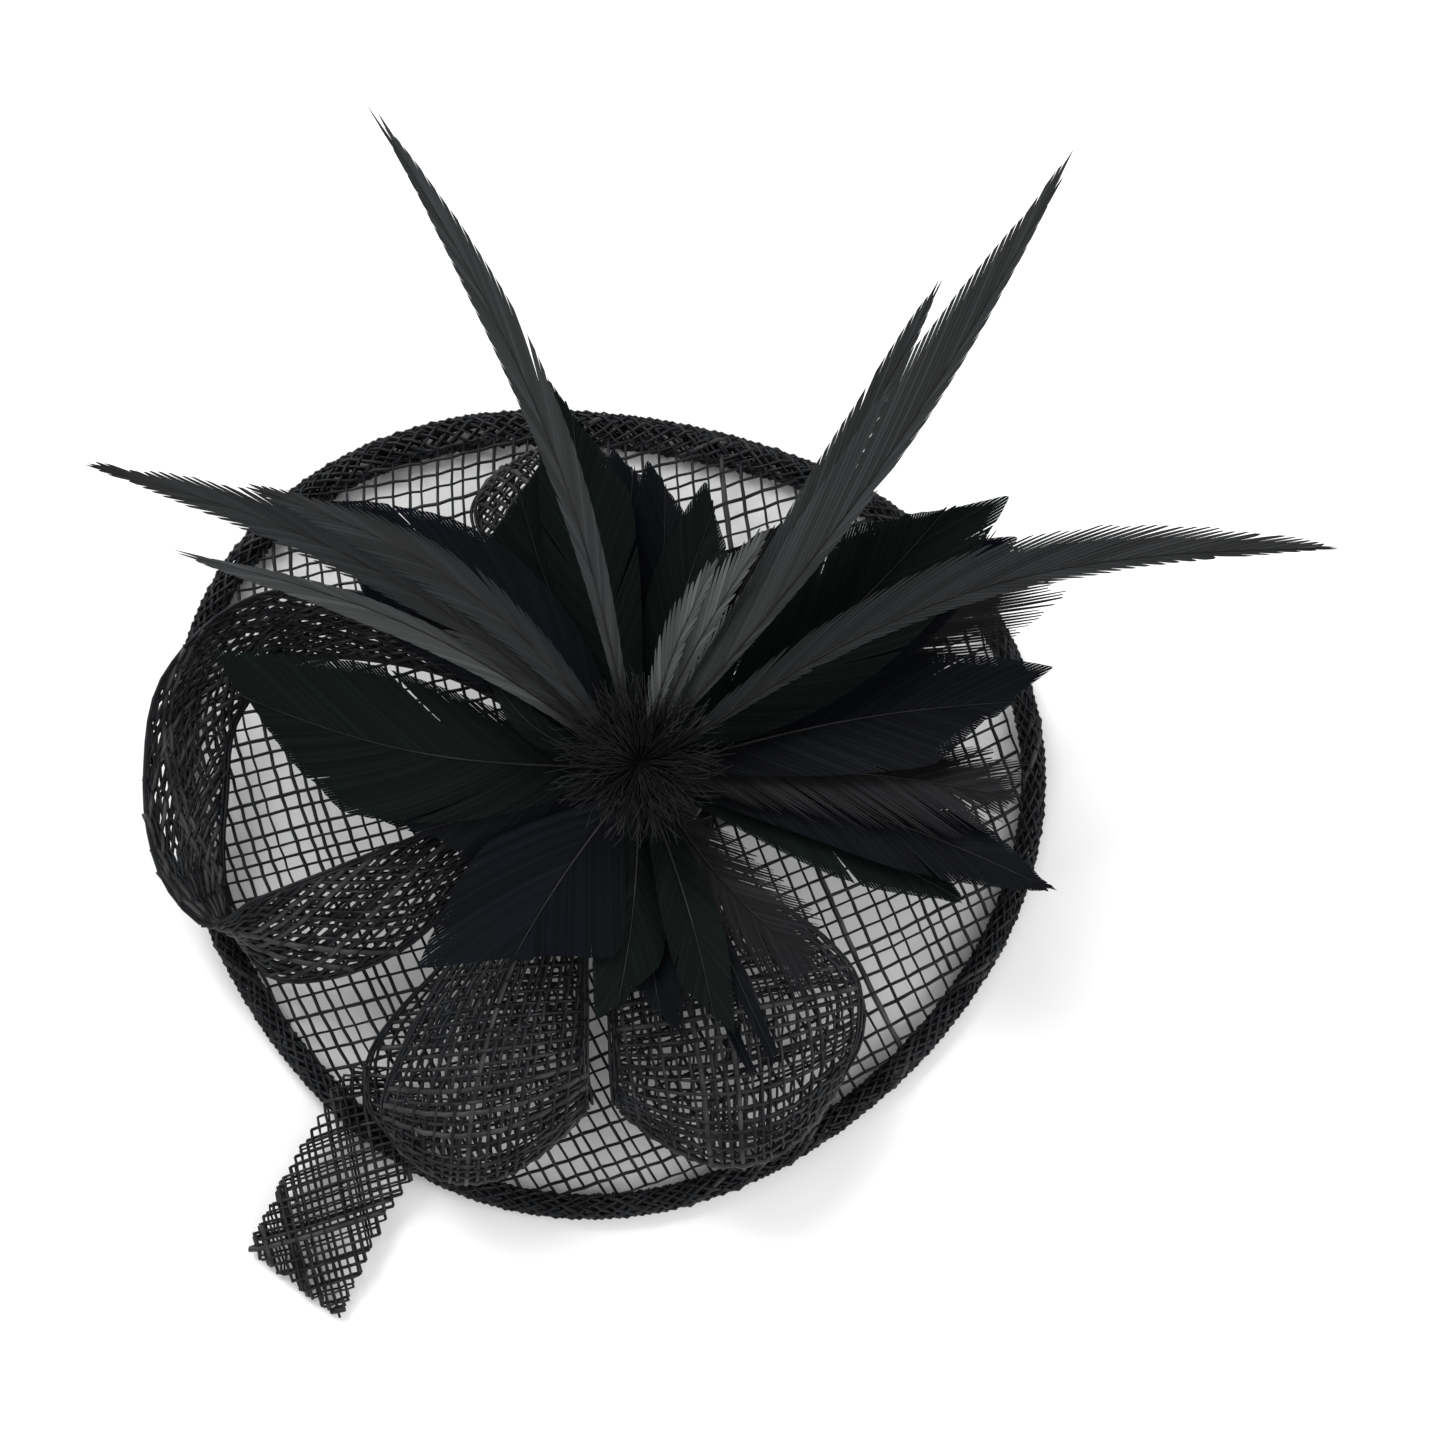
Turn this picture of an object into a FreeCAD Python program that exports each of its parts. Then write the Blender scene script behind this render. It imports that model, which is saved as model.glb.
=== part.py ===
import FreeCAD, Part
import math
import os

os.makedirs("parts", exist_ok=True)

# Fascinator headpiece: a small saucer of open sinamay with a rolled edge, ribbon
# loops and a cluster of feathers on top, and a sprung hair clip underneath.
# Millimetres. The origin is the middle of the saucer on the plane its rim rests on.
# +Z is up, away from the wearer's head, and +Y points to the two tall hackles.

# ---- driving dimensions ----
base_radius = 59.7          # mean radius of the saucer
base_depth = 17.0           # from the rim plane to the crown
cloth_thickness = 0.6       # stiffened sinamay
roll_radius = 2.1           # rolled binding round the edge
wire_radius = 0.6           # millinery wire inside the roll
ribbon_thickness = 0.8      # sinamay ribbon of the loops
tail_thickness = 1.2        # folded double
soft_gap = 0.3              # between soft pieces that lie on each other
fit_gap = 0.05              # radial clearance of a pin in its bore
press_gap = 0.01            # the pin sits tight in the fixed arm's ears

hub_x = 6.5                 # middle of the feather cluster
hub_y = 2.3
hub_z = 24.5                # height of the lowest layer of quills
layer_step = 0.9            # height from one layer of quills to the next
# rise of each layer of feathers, in mm per mm away from the hub
layer_rise = [0.10, 0.14, 0.18, 0.22, 0.26, 0.31, 0.36, 0.42, 0.48, 0.55, 0.62, 0.70]
quill_width = 1.0
feather_thickness = 0.6
binding_radius = 2.6
binding_spare = 2.0         # binding above the highest layer of quills
pad_radius = 10.0
pad_thickness = 1.5
pad_below_quills = 1.0      # from the top of the felt to the lowest layer of quills
wrap_radius = 8.0
wrap_gap = 0.2              # between the wrap and the saucer's cloth

backing_radius = 17.0
backing_thickness = 1.6
backing_drop = 1.6          # from the cloth at the crown to the top of the backing pad
clip_plate = 0.8            # thickness of the clip's sheet metal
clip_front = 30.0           # from the pin to the tip of the jaw
clip_back = 12.0            # from the pin to the thumb end
clip_width = 8.0
jaw_width = 5.4
pin_x = 8.0
pin_radius = 0.7
pin_drop = 2.8              # from the underside of the arm to the pin's axis
pin_head = 0.3              # how far the pin stands out at each side
ear_thickness = 0.6
ear_gap = 0.4               # between the arm's ears and the jaw
ear_reach = 1.6             # metal round the pin's bore
plate_gap = 0.1             # between the jaw's bend and the ears' ends
spring_wire = 0.3           # radius of the spring's wire
spring_leg = 8.0            # reach of its legs past the pin
spring_turns = 4
spring_gap = 0.15           # between the coil and the pin
spring_end_gap = 0.3        # between the coil's ends and the jaw's ears
thumb_angle = 26.0          # slope of the thumb plate away from the arm

# Feathers: name, tip across, tip along, layer, widest width, width at the tip,
# sideways bow of the quill, slope of the cut across the tip.
feathers = [
    ("hackle_upper_left", -26, 80, 9, 5.0, 0.8, -5, 0),
    ("hackle_upper_right", 62, 73, 9, 7.0, 0.8, -3, 0),
    ("hackle_upper_right_side", 46, 61, 8, 5.0, 0.8, -2, 0),
    ("hackle_left", -64, 37, 8, 6.5, 0.8, -6, 0),
    ("hackle_left_low", -52, 27, 7, 3.6, 0.8, -4, 0),
    ("hackle_left_high", -43, 34, 10, 6.5, 0.8, -5.5, 0),
    ("hackle_right", 96, 25, 8, 7.0, 0.8, 9, 0),
    ("fan_tip_left", 17, 27, 11, 4.0, 1.5, 1, 0),
    ("fan_tip_middle", 24, 31, 10, 5.0, 1.5, 1, 0),
    ("fan_tip_right", 31, 34, 7, 5.0, 1.5, 0, 0),
    ("leaf_feather", -14, 14, 6, 4.0, 0.8, 3, 0),
    ("broad_feather_top", -3, 55.5, 4, 13.0, 7.0, 2, 1.5),
    ("broad_feather_top_behind", 5.5, 48, 0, 12.0, 6.0, 1, 1.2),
    ("broad_feather_top_left", -11, 43, 3, 17.0, 8.0, 2, -0.8),
    ("broad_feather_top_right", 10, 45, 2, 11.0, 5.0, -1, 1.4),
    ("broad_feather_notched", 18, 41, 3, 10.0, 5.0, 1, 1.3),
    ("broad_feather_tucked", 27, 39, 1, 11.0, 5.0, 0, -1.3),
    ("broad_feather_large", 53, 41, 5, 18.0, 11.0, -3, -1.2),
    ("broad_feather_corner", 56, 35.5, 4, 14.0, 8.0, -2, -1.2),
    ("sheer_feather", 63, 33, 0, 20.0, 14.0, -1, -0.3),
    ("broad_feather_right", 64, 10.5, 3, 16.0, 9.0, 2, 1.4),
    ("fringed_feather", 60, -3, 2, 16.0, 11.0, 2, 0.3),
    ("pointed_feather_long", 63, -15, 1, 12.0, 1.0, 3, 0),
    ("pointed_feather_short", 51, -16, 0, 11.0, 1.0, 2, 0),
    ("sheer_feather_low", 33, -27, 1, 13.0, 9.0, -2, -0.6),
    ("stripped_feather_right", 25, -38, 2, 2.6, 1.5, 0, 0),
    ("stripped_feather_left", 22, -40, 0, 2.2, 1.0, -1, 0),
    ("bottom_feather_right", 17.5, -36, 3, 8.0, 4.5, 1, 1.5),
    ("bottom_feather_middle", 10, -35, 1, 9.0, 5.0, -1, 1.3),
    ("bottom_feather_left", 3, -34, 2, 10.0, 5.0, 1, -1.3),
    ("square_feather", -14, -31, 3, 24.0, 22.0, -1, -0.62),
    ("broad_feather_low_left", -36, 3, 1, 17.0, 7.0, 2, 1.2),
    ("broad_feather_under_left", -28, -8, 2, 15.0, 8.0, 0, -1.0),
    ("broad_feather_left", -54, 13.5, 3, 21.0, 8.0, 4, -1.6),
    ("broad_feather_upper_left", -40, 33, 5, 19.0, 8.0, -5, -1.2),
]


def vec(x, y, z):
    return FreeCAD.Vector(x, y, z)


def export(name, shape):
    shape.exportStep("parts/" + name + ".step")


# ---- the saucer's shape ----
dome_shares = (0.85, 0.7, 0.5, 0.3, 0.1)    # where the dome's rings lie between rim and crown


def rim_radius(angle):
    """Hand-blocked outline: nearly round, with three soft bulges."""
    return (base_radius
            + 1.9 * math.cos(angle - math.radians(84))
            + 2.3 * math.cos(2 * angle + math.radians(25))
            + 2.4 * math.cos(3 * angle - math.radians(60)))


def dome_height(x, y):
    """Height of the middle of the cloth above the rim plane."""
    share = math.hypot(x, y) / rim_radius(math.atan2(y, x))
    return roll_radius + (base_depth - roll_radius) * (1 - share ** 2)


def outline(share, z, points=24):
    """Closed smooth wire round the saucer, at a share of its outline."""
    ring = []
    for i in range(points):
        angle = 2 * math.pi * i / points
        reach = share * rim_radius(angle)
        ring.append(vec(reach * math.cos(angle), reach * math.sin(angle), z))
    curve = Part.BSplineCurve()
    curve.interpolate(ring, PeriodicFlag=True)
    return Part.Wire([curve.toShape()])


def dome_solid(offset, edge_share):
    """Everything under the dome's surface, moved up by the offset."""
    rings = []
    for share in (edge_share,) + dome_shares:
        height = roll_radius + (base_depth - roll_radius) * (1 - share ** 2)
        rings.append(outline(share, height + offset))
    return Part.makeLoft(rings, True, False)


def make_base_disc():
    edge_share = 1 - (roll_radius + fit_gap) / base_radius
    top = dome_solid(cloth_thickness / 2, edge_share)
    under = dome_solid(-cloth_thickness / 2, edge_share)
    # the same dome, moved down by the cloth's thickness, hollows out the upper one
    return top.cut(under)


def make_ring(radius):
    """Round bar that follows the saucer's edge."""
    path = outline(1.0, roll_radius)
    start = vec(rim_radius(0), 0, roll_radius)
    circle = Part.Wire([Part.makeCircle(radius, start, vec(0, 1, 0))])
    return path.makePipeShell([circle], True, False)


# ---- ribbons ----
# Each ribbon is a row of stations: its left edge, its right edge, and how far its middle
# bulges away from the line between them. An edge is across, along, and the height above
# the saucer's cloth, so that the ribbons follow the saucer if its size changes.
left_loop = [
    ((-1.8, 4.6, 2.0), (-1.8, 5.6, 4.4), (0, 0, 0)),
    ((-10, 11, 2.2), (-11, 14, 7.0), (0, 0, 0)),
    ((-24, 18, 3.0), (-25, 26, 11.0), (0, 0, 0)),
    ((-43, 20, 4.0), (-47, 28, 17.0), (0, 0, 0)),
    ((-52, 12, 3.6), (-61, 17, 19.0), (-1, 0, 0)),
    ((-53.5, 1, 3.6), (-64, 2, 18.5), (-1.5, 0, 0)),
    ((-54, -8, 3.6), (-62, -11, 16.5), (-1, 0, 0)),
    ((-52.5, -17, 4.0), (-55.5, -18.5, 13.0), (0, 0, 0)),
    ((-47.5, -25, 3.0), (-49, -15.5, 12.5), (0, 0, 0)),
    ((-38, -25.5, 2.6), (-41, -12.5, 11.0), (0, 0, 1)),
    ((-27, -21.5, 3.6), (-30, -8.5, 10.0), (0, 0, 2)),
    ((-17, -13, 4.6), (-18, -4.5, 8.5), (0, 0, 1)),
    ((-2.2, -1.2, 2.0), (-2.2, -0.2, 4.4), (0, 0, 0)),
]
lower_left_loop = [
    ((1.5, -6.3, 2.0), (4.5, -7.2, 2.0), (0, 0, 0)),
    ((-11, -14, 2.0), (-1, -14, 2.0), (0, 0, 0)),
    ((-23, -25, 2.2), (-2, -24, 2.2), (0, 0, 0)),
    ((-32, -35, 2.8), (-2, -34, 2.2), (0, 0, 0)),
    ((-33, -43, 4.8), (-1.5, -41, 3.2), (0, -4, 0)),
    ((-30, -47.5, 6.5), (-0.5, -43.5, 5.5), (-1, -8.5, 0)),
    ((-29.5, -47.5, 10.0), (-0.5, -43.0, 8.0), (-1, -8.0, 3)),
    ((-30, -43, 12.0), (-1, -39, 8.0), (0, -3, 6)),
    ((-26, -34, 11.0), (-1, -31, 6.5), (0, 0, 6)),
    ((-20, -24, 8.6), (-1, -22, 5.5), (0, 0, 4.5)),
    ((-9.5, -13, 5.2), (0, -13, 4.6), (0, 0, 2)),
    ((1.5, -6.3, 4.6), (4.5, -7.2, 4.6), (0, 0, 0)),
]
lower_right_loop = [
    ((8.0, -7.2, 2.0), (11.5, -6.4, 2.0), (0, 0, 0)),
    ((4, -14, 2.0), (18, -12, 2.0), (0, 0, 0)),
    ((2.5, -24, 2.0), (30, -19, 2.0), (0, 0, 0.3)),
    ((2.5, -34, 2.2), (37.5, -27, 2.2), (0, 0, 0.8)),
    ((2.5, -41, 3.2), (38, -34, 3.2), (0, -5, 0.6)),
    ((2.5, -43.5, 6.0), (35, -40, 6.5), (2, -10, 0)),
    ((2.5, -43.0, 8.5), (35, -39.5, 10.0), (2, -9.5, 3)),
    ((2.2, -39, 8.0), (37.5, -33, 12.0), (1, -4, 6)),
    ((2, -31, 6.5), (36.5, -25, 11.0), (0, 0, 6)),
    ((2, -22, 5.5), (28, -17, 8.6), (0, 0, 4.5)),
    ((4.5, -13, 4.6), (17, -11, 5.2), (0, 0, 2)),
    ((8.0, -7.2, 4.6), (11.5, -6.4, 4.6), (0, 0, 0)),
]
top_loop = [
    ((0.5, 11.5, 2.0), (5.0, 12.5, 2.0), (0, 0, 0)),
    ((-8, 21, 2.1), (9, 21, 2.1), (0, 0, 0)),
    ((-14, 31, 2.1), (9, 31, 2.1), (0, 0, 0)),
    ((-17.5, 40, 2.2), (8, 40, 2.2), (0, 2, 0)),
    ((-16.5, 45, 5.0), (7, 45.5, 5.0), (0, 5.5, 0)),
    ((-16.5, 45, 8.0), (7, 45.5, 8.0), (0, 5.0, 2)),
    ((-18, 40, 9.5), (8.5, 40, 9.5), (0, 2, 4)),
    ((-14.5, 31, 8.0), (9.5, 31, 8.0), (0, 0, 4)),
    ((-8, 21, 6.0), (9.5, 21, 6.0), (0, 0, 2.5)),
    ((0.5, 11.5, 4.6), (5.0, 12.5, 4.6), (0, 0, 0)),
]
tail_ribbon = [
    ((-20, -46, 1.35), (-33.5, -37, 1.35), (0, 0, 0)),
    ((-24, -50, 3.0), (-38, -40, 3.0), (0, 0, 0)),
    ((-29, -58, 4.4), (-43, -49, 3.4), (0, 0, 0.4)),
    ((-33, -66, 3.6), (-47, -57, 3.6), (0, 0, 0.8)),
    ((-37, -74, 1.2), (-51, -64, 1.2), (0, 0, 0)),
]
ribbon_rows = 24            # cross sections along a ribbon
ribbon_columns = 7          # points across it


def on_cloth(edge):
    """Point at a height above the saucer's cloth, or above the table outside it."""
    x, y, rise = edge
    return vec(x, y, max(dome_height(x, y), 0) + rise)


def smooth_line(points):
    """Evenly spaced points on a smooth curve through the given ones."""
    curve = Part.BSplineCurve()
    curve.interpolate(points)
    return curve.toShape().discretize(ribbon_rows)


def make_ribbon(stations, thickness):
    """Solid strip through its stations, bulging between its two edges."""
    last_row = ribbon_rows - 1
    last_column = ribbon_columns - 1
    lines = []
    for column in range(ribbon_columns):
        share = column / last_column
        fullness = 4 * share * (1 - share)
        points = []
        for left, right, bulge in stations:
            left = on_cloth(left)
            right = on_cloth(right)
            points.append(left + (right - left) * share + vec(*bulge) * fullness)
        lines.append(smooth_line(points))
    sections = []
    for row in range(ribbon_rows):
        over = []
        under = []
        for column in range(ribbon_columns):
            # the cut ends are flat, so they have one normal all the way across
            at_end = row in (0, last_row)
            from_column = 0 if at_end else max(column - 1, 0)
            to_column = last_column if at_end else min(column + 1, last_column)
            line = lines[ribbon_columns // 2 if at_end else column]
            along = line[min(row + 1, last_row)] - line[max(row - 1, 0)]
            normal = along.cross(lines[to_column][row] - lines[from_column][row])
            normal.normalize()
            half = normal * (thickness / 2)
            over.append(lines[column][row] + half)
            under.append(lines[column][row] - half)
        corners = over + under[::-1]
        sections.append(Part.makePolygon(corners + corners[:1]))
    return Part.makeLoft(sections, True, True)


# ---- stitches ----
tack_radius = 0.25
tack_length = 2.0
tack_gap = 0.28             # the dome is a little fuller than its formula between its rings
tack_spots = [
    (-7.5, -16), (-9.5, -26), (13, -17), (15.5, -27),
    (0, 22), (-4, 33), (-24, 22), (-34, -22),
]


def make_stitch_tacks():
    """Short thread bars under the ribbons, sewn down to the cloth."""
    bars = []
    for x, y in tack_spots:
        lift = dome_height(x, y) + cloth_thickness / 2 + tack_radius + tack_gap
        start = vec(x - tack_length / 2, y, lift)
        bars.append(Part.makeCylinder(tack_radius, tack_length, start, vec(1, 0, 0)))
    return Part.makeCompound(bars)


# ---- feathers ----
def layer_height(layer, distance):
    """Each layer of feathers lies on its own cone, so no two layers meet."""
    return hub_z + layer_step * layer + layer_rise[layer] * distance


# share of the length, and share of the full width there
blade_widths = [(0.2, 0.5), (0.42, 0.92), (0.62, 1.0)]
shoulder = (0.82, 0.6)


def make_feather(tip_x, tip_y, layer, width, tip_width, bow, slope):
    """Thin blade with a ridge along its quill, from the binding to its cut tip."""
    reach = math.hypot(tip_x - hub_x, tip_y - hub_y)
    out = vec((tip_x - hub_x) / reach, (tip_y - hub_y) / reach, 0)
    across = vec(-out.y, out.x, 0)
    root = binding_radius + soft_gap
    length = reach - root
    half_tip = tip_width / 2
    shoulder_width = tip_width + (width - tip_width) * shoulder[1]
    halves = [(0.0, quill_width / 2)]
    halves += [(share, width * fullness / 2) for share, fullness in blade_widths]
    halves += [(shoulder[0], shoulder_width / 2), (1.0, half_tip)]
    sections = []
    for share, half in halves:
        # a slanted cut leaves one corner at the full length; the quill ends before it,
        # and every section leans in step with the cut so that none crosses the next
        quill_share = share * (1 - abs(slope) * half_tip / length)
        turn = bow * math.pi * math.cos(math.pi * quill_share) / length
        points = []
        for side in (1, 0, -1):
            ahead = slope * side * half_tip * share
            distance = root + length * quill_share + ahead
            sideways = bow * math.sin(math.pi * quill_share) + turn * ahead + side * half
            point = vec(hub_x, hub_y, 0) + out * distance + across * sideways
            away = math.hypot(point.x - hub_x, point.y - hub_y)
            points.append(vec(point.x, point.y, layer_height(layer, away)))
        lift = vec(0, 0, feather_thickness / 2)
        corners = [points[0], points[1] + lift, points[2], points[1] - lift]
        sections.append(Part.makePolygon(corners + corners[:1]))
    return Part.makeLoft(sections, True, True)


# ---- hair clip ----
pad_under = base_depth - cloth_thickness / 2 - backing_drop - backing_thickness
arm_under = pad_under - clip_plate
pin_z = arm_under - pin_drop
ear_inner = jaw_width / 2 + ear_gap


def ear(inner, thickness, top, bottom, bore):
    """Pair of side tabs, with the pin's bore through them."""
    tabs = []
    for low in (inner, -inner - thickness):
        corner = vec(pin_x - ear_reach, low, bottom)
        tabs.append(Part.makeBox(2 * ear_reach, thickness, top - bottom, corner))
    hole = Part.makeCylinder(bore, 2 * clip_width, vec(pin_x, -clip_width, pin_z), vec(0, 1, 0))
    return [tab.cut(hole) for tab in tabs]


def make_clip_arm():
    plate = Part.makeBox(clip_front + clip_back, clip_width, clip_plate,
                         vec(pin_x - clip_front, -clip_width / 2, arm_under))
    tabs = ear(ear_inner, ear_thickness, arm_under, pin_z - ear_reach, pin_radius + press_gap)
    return plate.fuse(tabs)


def make_clip_jaw():
    tip_x = pin_x - clip_front
    tip_top = arm_under - soft_gap
    bend_top = pin_z - ear_reach - plate_gap
    drop = clip_back * math.tan(math.radians(thumb_angle))
    thumb_end = vec(pin_x + clip_back, 0, bend_top - drop)
    top = [vec(tip_x, 0, tip_top), vec(pin_x, 0, bend_top), thumb_end]
    bottom = [p - vec(0, 0, clip_plate) for p in reversed(top)]
    corners = top + bottom
    face = Part.Face(Part.makePolygon(corners + corners[:1]))
    plate = face.extrude(vec(0, jaw_width, 0))
    plate.translate(vec(0, -jaw_width / 2, 0))
    inner = jaw_width / 2 - ear_thickness
    bore = pin_radius + fit_gap
    tabs = ear(inner, ear_thickness, pin_z + ear_reach, bend_top - clip_plate, bore)
    return plate.fuse(tabs)


def make_clip_pin():
    length = 2 * (ear_inner + ear_thickness + pin_head)
    return Part.makeCylinder(pin_radius, length, vec(pin_x, -length / 2, pin_z), vec(0, 1, 0))


def make_clip_spring():
    """Coil round the pin, with one leg under the arm and one on the thumb plate."""
    coil_radius = pin_radius + spring_gap + spring_wire
    coil_length = 2 * (jaw_width / 2 - ear_thickness - spring_wire - spring_end_gap)
    helix = Part.makeHelix(coil_length / spring_turns, coil_length, coil_radius)
    profile = Part.Wire([Part.makeCircle(spring_wire, vec(coil_radius, 0, 0), vec(0, 1, 0))])
    coil = Part.Wire(helix).makePipeShell([profile], True, True)
    coil.rotate(vec(0, 0, 0), vec(1, 0, 0), -90)
    coil.translate(vec(pin_x, -coil_length / 2, pin_z))
    angle = math.radians(thumb_angle)
    rest_on_arm = arm_under - spring_wire - fit_gap - pin_z
    thumb_plate = -ear_reach - plate_gap - spring_leg * math.tan(angle)
    rest_on_thumb = thumb_plate + spring_wire / math.cos(angle) + fit_gap
    legs = []
    for side, rise in ((-1, rest_on_arm), (1, rest_on_thumb)):
        start = vec(pin_x + coil_radius, side * coil_length / 2, pin_z)
        end = vec(pin_x + spring_leg, side * coil_length / 2, pin_z + rise)
        legs.append(Part.makeCylinder(spring_wire, (end - start).Length, start, end - start))
    return coil.fuse(legs)


export("base_disc", make_base_disc())
roll_core = make_ring(wire_radius + fit_gap)
export("rim_roll", make_ring(roll_radius).cut(roll_core))
export("rim_wire", make_ring(wire_radius))
export("left_loop", make_ribbon(left_loop, ribbon_thickness))
export("lower_left_loop", make_ribbon(lower_left_loop, ribbon_thickness))
export("lower_right_loop", make_ribbon(lower_right_loop, ribbon_thickness))
export("top_loop", make_ribbon(top_loop, ribbon_thickness))
export("tail_ribbon", make_ribbon(tail_ribbon, tail_thickness))
export("stitch_tacks", make_stitch_tacks())



def upright(radius, height, bottom):
    """Upright cylinder in the middle of the feather cluster."""
    return Part.makeCylinder(radius, height, vec(hub_x, hub_y, bottom))


wrap_bottom = base_depth + cloth_thickness / 2 + wrap_gap
pad_top = hub_z - pad_below_quills
pad_bottom = pad_top - pad_thickness
binding_height = layer_step * len(layer_rise) + binding_spare
export("centre_wrap", upright(wrap_radius, pad_bottom - wrap_bottom, wrap_bottom))
export("feather_pad", upright(pad_radius, pad_thickness, pad_bottom))
export("quill_binding", upright(binding_radius, binding_height, pad_top))

for name, *sizes in feathers:
    export(name, make_feather(*sizes))

export("backing_pad", Part.makeCylinder(backing_radius, backing_thickness, vec(0, 0, pad_under)))
export("clip_arm", make_clip_arm())
export("clip_jaw", make_clip_jaw())
export("clip_pin", make_clip_pin())
export("clip_spring", make_clip_spring())
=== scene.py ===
# %% [markdown]
# # A feathered fascinator
# This lesson dresses a small headpiece: a saucer of open sinamay cloth with a rolled
# edge, four ribbon loops and a tail, a spray of feathers, and a sprung hair clip
# underneath. The frame gives every size and place, so it is loaded first. Its box is
# kept, because the finished headpiece has to stay inside it.

# %% Load the frame
import bpy
import bmesh
import math
import random
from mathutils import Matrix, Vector, noise


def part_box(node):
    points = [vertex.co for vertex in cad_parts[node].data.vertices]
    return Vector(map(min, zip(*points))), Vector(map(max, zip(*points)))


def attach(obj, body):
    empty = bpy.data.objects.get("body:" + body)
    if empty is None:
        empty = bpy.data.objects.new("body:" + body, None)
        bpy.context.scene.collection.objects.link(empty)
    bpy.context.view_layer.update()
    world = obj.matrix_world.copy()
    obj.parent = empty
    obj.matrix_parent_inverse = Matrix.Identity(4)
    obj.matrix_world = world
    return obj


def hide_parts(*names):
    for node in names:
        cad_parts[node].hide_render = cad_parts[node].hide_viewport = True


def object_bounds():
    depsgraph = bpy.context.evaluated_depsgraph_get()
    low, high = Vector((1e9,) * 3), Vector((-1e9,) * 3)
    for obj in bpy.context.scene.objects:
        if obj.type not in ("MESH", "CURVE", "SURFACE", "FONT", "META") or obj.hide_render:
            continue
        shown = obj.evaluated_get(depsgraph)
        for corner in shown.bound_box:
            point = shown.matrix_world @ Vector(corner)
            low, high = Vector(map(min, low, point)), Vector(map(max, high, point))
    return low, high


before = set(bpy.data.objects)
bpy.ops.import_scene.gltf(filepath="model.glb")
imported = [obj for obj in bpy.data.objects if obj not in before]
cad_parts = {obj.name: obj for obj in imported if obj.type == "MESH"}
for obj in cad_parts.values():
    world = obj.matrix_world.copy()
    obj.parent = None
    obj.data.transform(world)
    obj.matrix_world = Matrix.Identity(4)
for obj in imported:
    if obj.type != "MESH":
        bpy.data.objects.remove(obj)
cad_low, cad_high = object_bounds()
mm = 0.001
print("frame loaded:", len(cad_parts), "pieces")
print("CAD box", [round(v, 3) for v in cad_high - cad_low], "m")

# %% [markdown]
# ## Camera
# A fascinator shows its whole design from above, so the camera looks almost straight
# down on it. A fairly long lens keeps the tall feather tips from growing too large.
# The camera aims at a point beside the saucer's middle, because the feathers reach
# further to one side than to the other.

# %% Camera
camera_distance = 0.600
camera_elevation = 82
picture_width = 0.2125
aim = Vector((0.0180, 0.0129, 0.0))

camera_data = bpy.data.cameras.new("camera")
camera = bpy.data.objects.new("camera", camera_data)
bpy.context.scene.collection.objects.link(camera)
tilt = math.radians(camera_elevation)
camera.location = aim + Vector((0, -math.cos(tilt), math.sin(tilt))) * camera_distance
camera.rotation_euler = (math.radians(90) - tilt, 0, 0)
camera_data.sensor_width = 36
camera_data.lens = 36 * camera_distance / picture_width
camera_data.clip_start = 0.01
bpy.context.scene.camera = camera
print("camera lens", round(camera_data.lens), "mm")

# %% [markdown]
# ## Table and light
# Black cloth and black feathers only show their form where light slides along them.
# A pale table, a bright even world and two soft panels do that. The table is white
# and close to the light's brightness, so the net reads as black lines on white, and
# a small gap under the saucer still holds a soft grey shade.

# %% Table and light
def make_table():
    bm = bmesh.new()
    bmesh.ops.create_grid(bm, x_segments=1, y_segments=1, size=1.5)
    mesh = bpy.data.meshes.new("table")
    bm.to_mesh(mesh)
    bm.free()
    table = bpy.data.objects.new("table", mesh)
    table.location.z = cad_low.z - 0.0002
    bpy.context.scene.collection.objects.link(table)
    paint = bpy.data.materials.new("white_table")
    paint.use_nodes = True
    shader = paint.node_tree.nodes["Principled BSDF"]
    shader.inputs["Base Color"].default_value = (0.80, 0.81, 0.80, 1)
    shader.inputs["Roughness"].default_value = 0.9
    mesh.materials.append(paint)
    return table


def add_panel(name, place, aim_at, size, power):
    """Soft square light that points at a place on the headpiece."""
    data = bpy.data.lights.new(name, "AREA")
    data.shape = "SQUARE"
    data.size = size
    data.energy = power
    lamp = bpy.data.objects.new(name, data)
    lamp.location = place
    lamp.rotation_euler = (Vector(place) - Vector(aim_at)).to_track_quat("Z", "Y").to_euler()
    bpy.context.scene.collection.objects.link(lamp)
    return lamp


make_table()
world = bpy.data.worlds.new("studio")
bpy.context.scene.world = world
world.use_nodes = True
world.node_tree.nodes["Background"].inputs["Color"].default_value = (1, 1, 1, 1)
world.node_tree.nodes["Background"].inputs["Strength"].default_value = 0.85
add_panel("key_panel", (-0.35, 0.55, 0.75), (0, 0, 0.03), 0.5, 9)
add_panel("fill_panel", (0.70, -0.30, 0.60), (0, 0, 0.03), 0.6, 5)
bpy.context.scene.view_settings.view_transform = "Standard"
print("table and two panels made")

# %% [markdown]
# ## Materials: sinamay yarn
# Sinamay is woven from stiffened banana fibre. Each yarn is a flat bundle of fibres
# with a dull satin face, and no two yarns take the dye alike, so one is blacker and
# the next is charcoal. Three yarn finishes share one node group that puts out the
# colour and the height of the fibres, and every yarn is given one of the three.

# %% Shared effect: fibres
def wire_up(tree, *wires):
    """Joins node sockets; each wire is a node, its output, the next node and its input."""
    for node, output, next_node, next_input in wires:
        tree.links.new(node.outputs[output], next_node.inputs[next_input])


def set_inputs(node, **values):
    """Sets a node's inputs by name, with _ for a space."""
    for name, value in values.items():
        node.inputs[name.replace("_", " ")].default_value = value


def socket(tree, name, kind, way, value=None):
    made = tree.interface.new_socket(name=name, in_out=way, socket_type=kind)
    if value is not None:
        made.default_value = value
    return made


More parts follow.
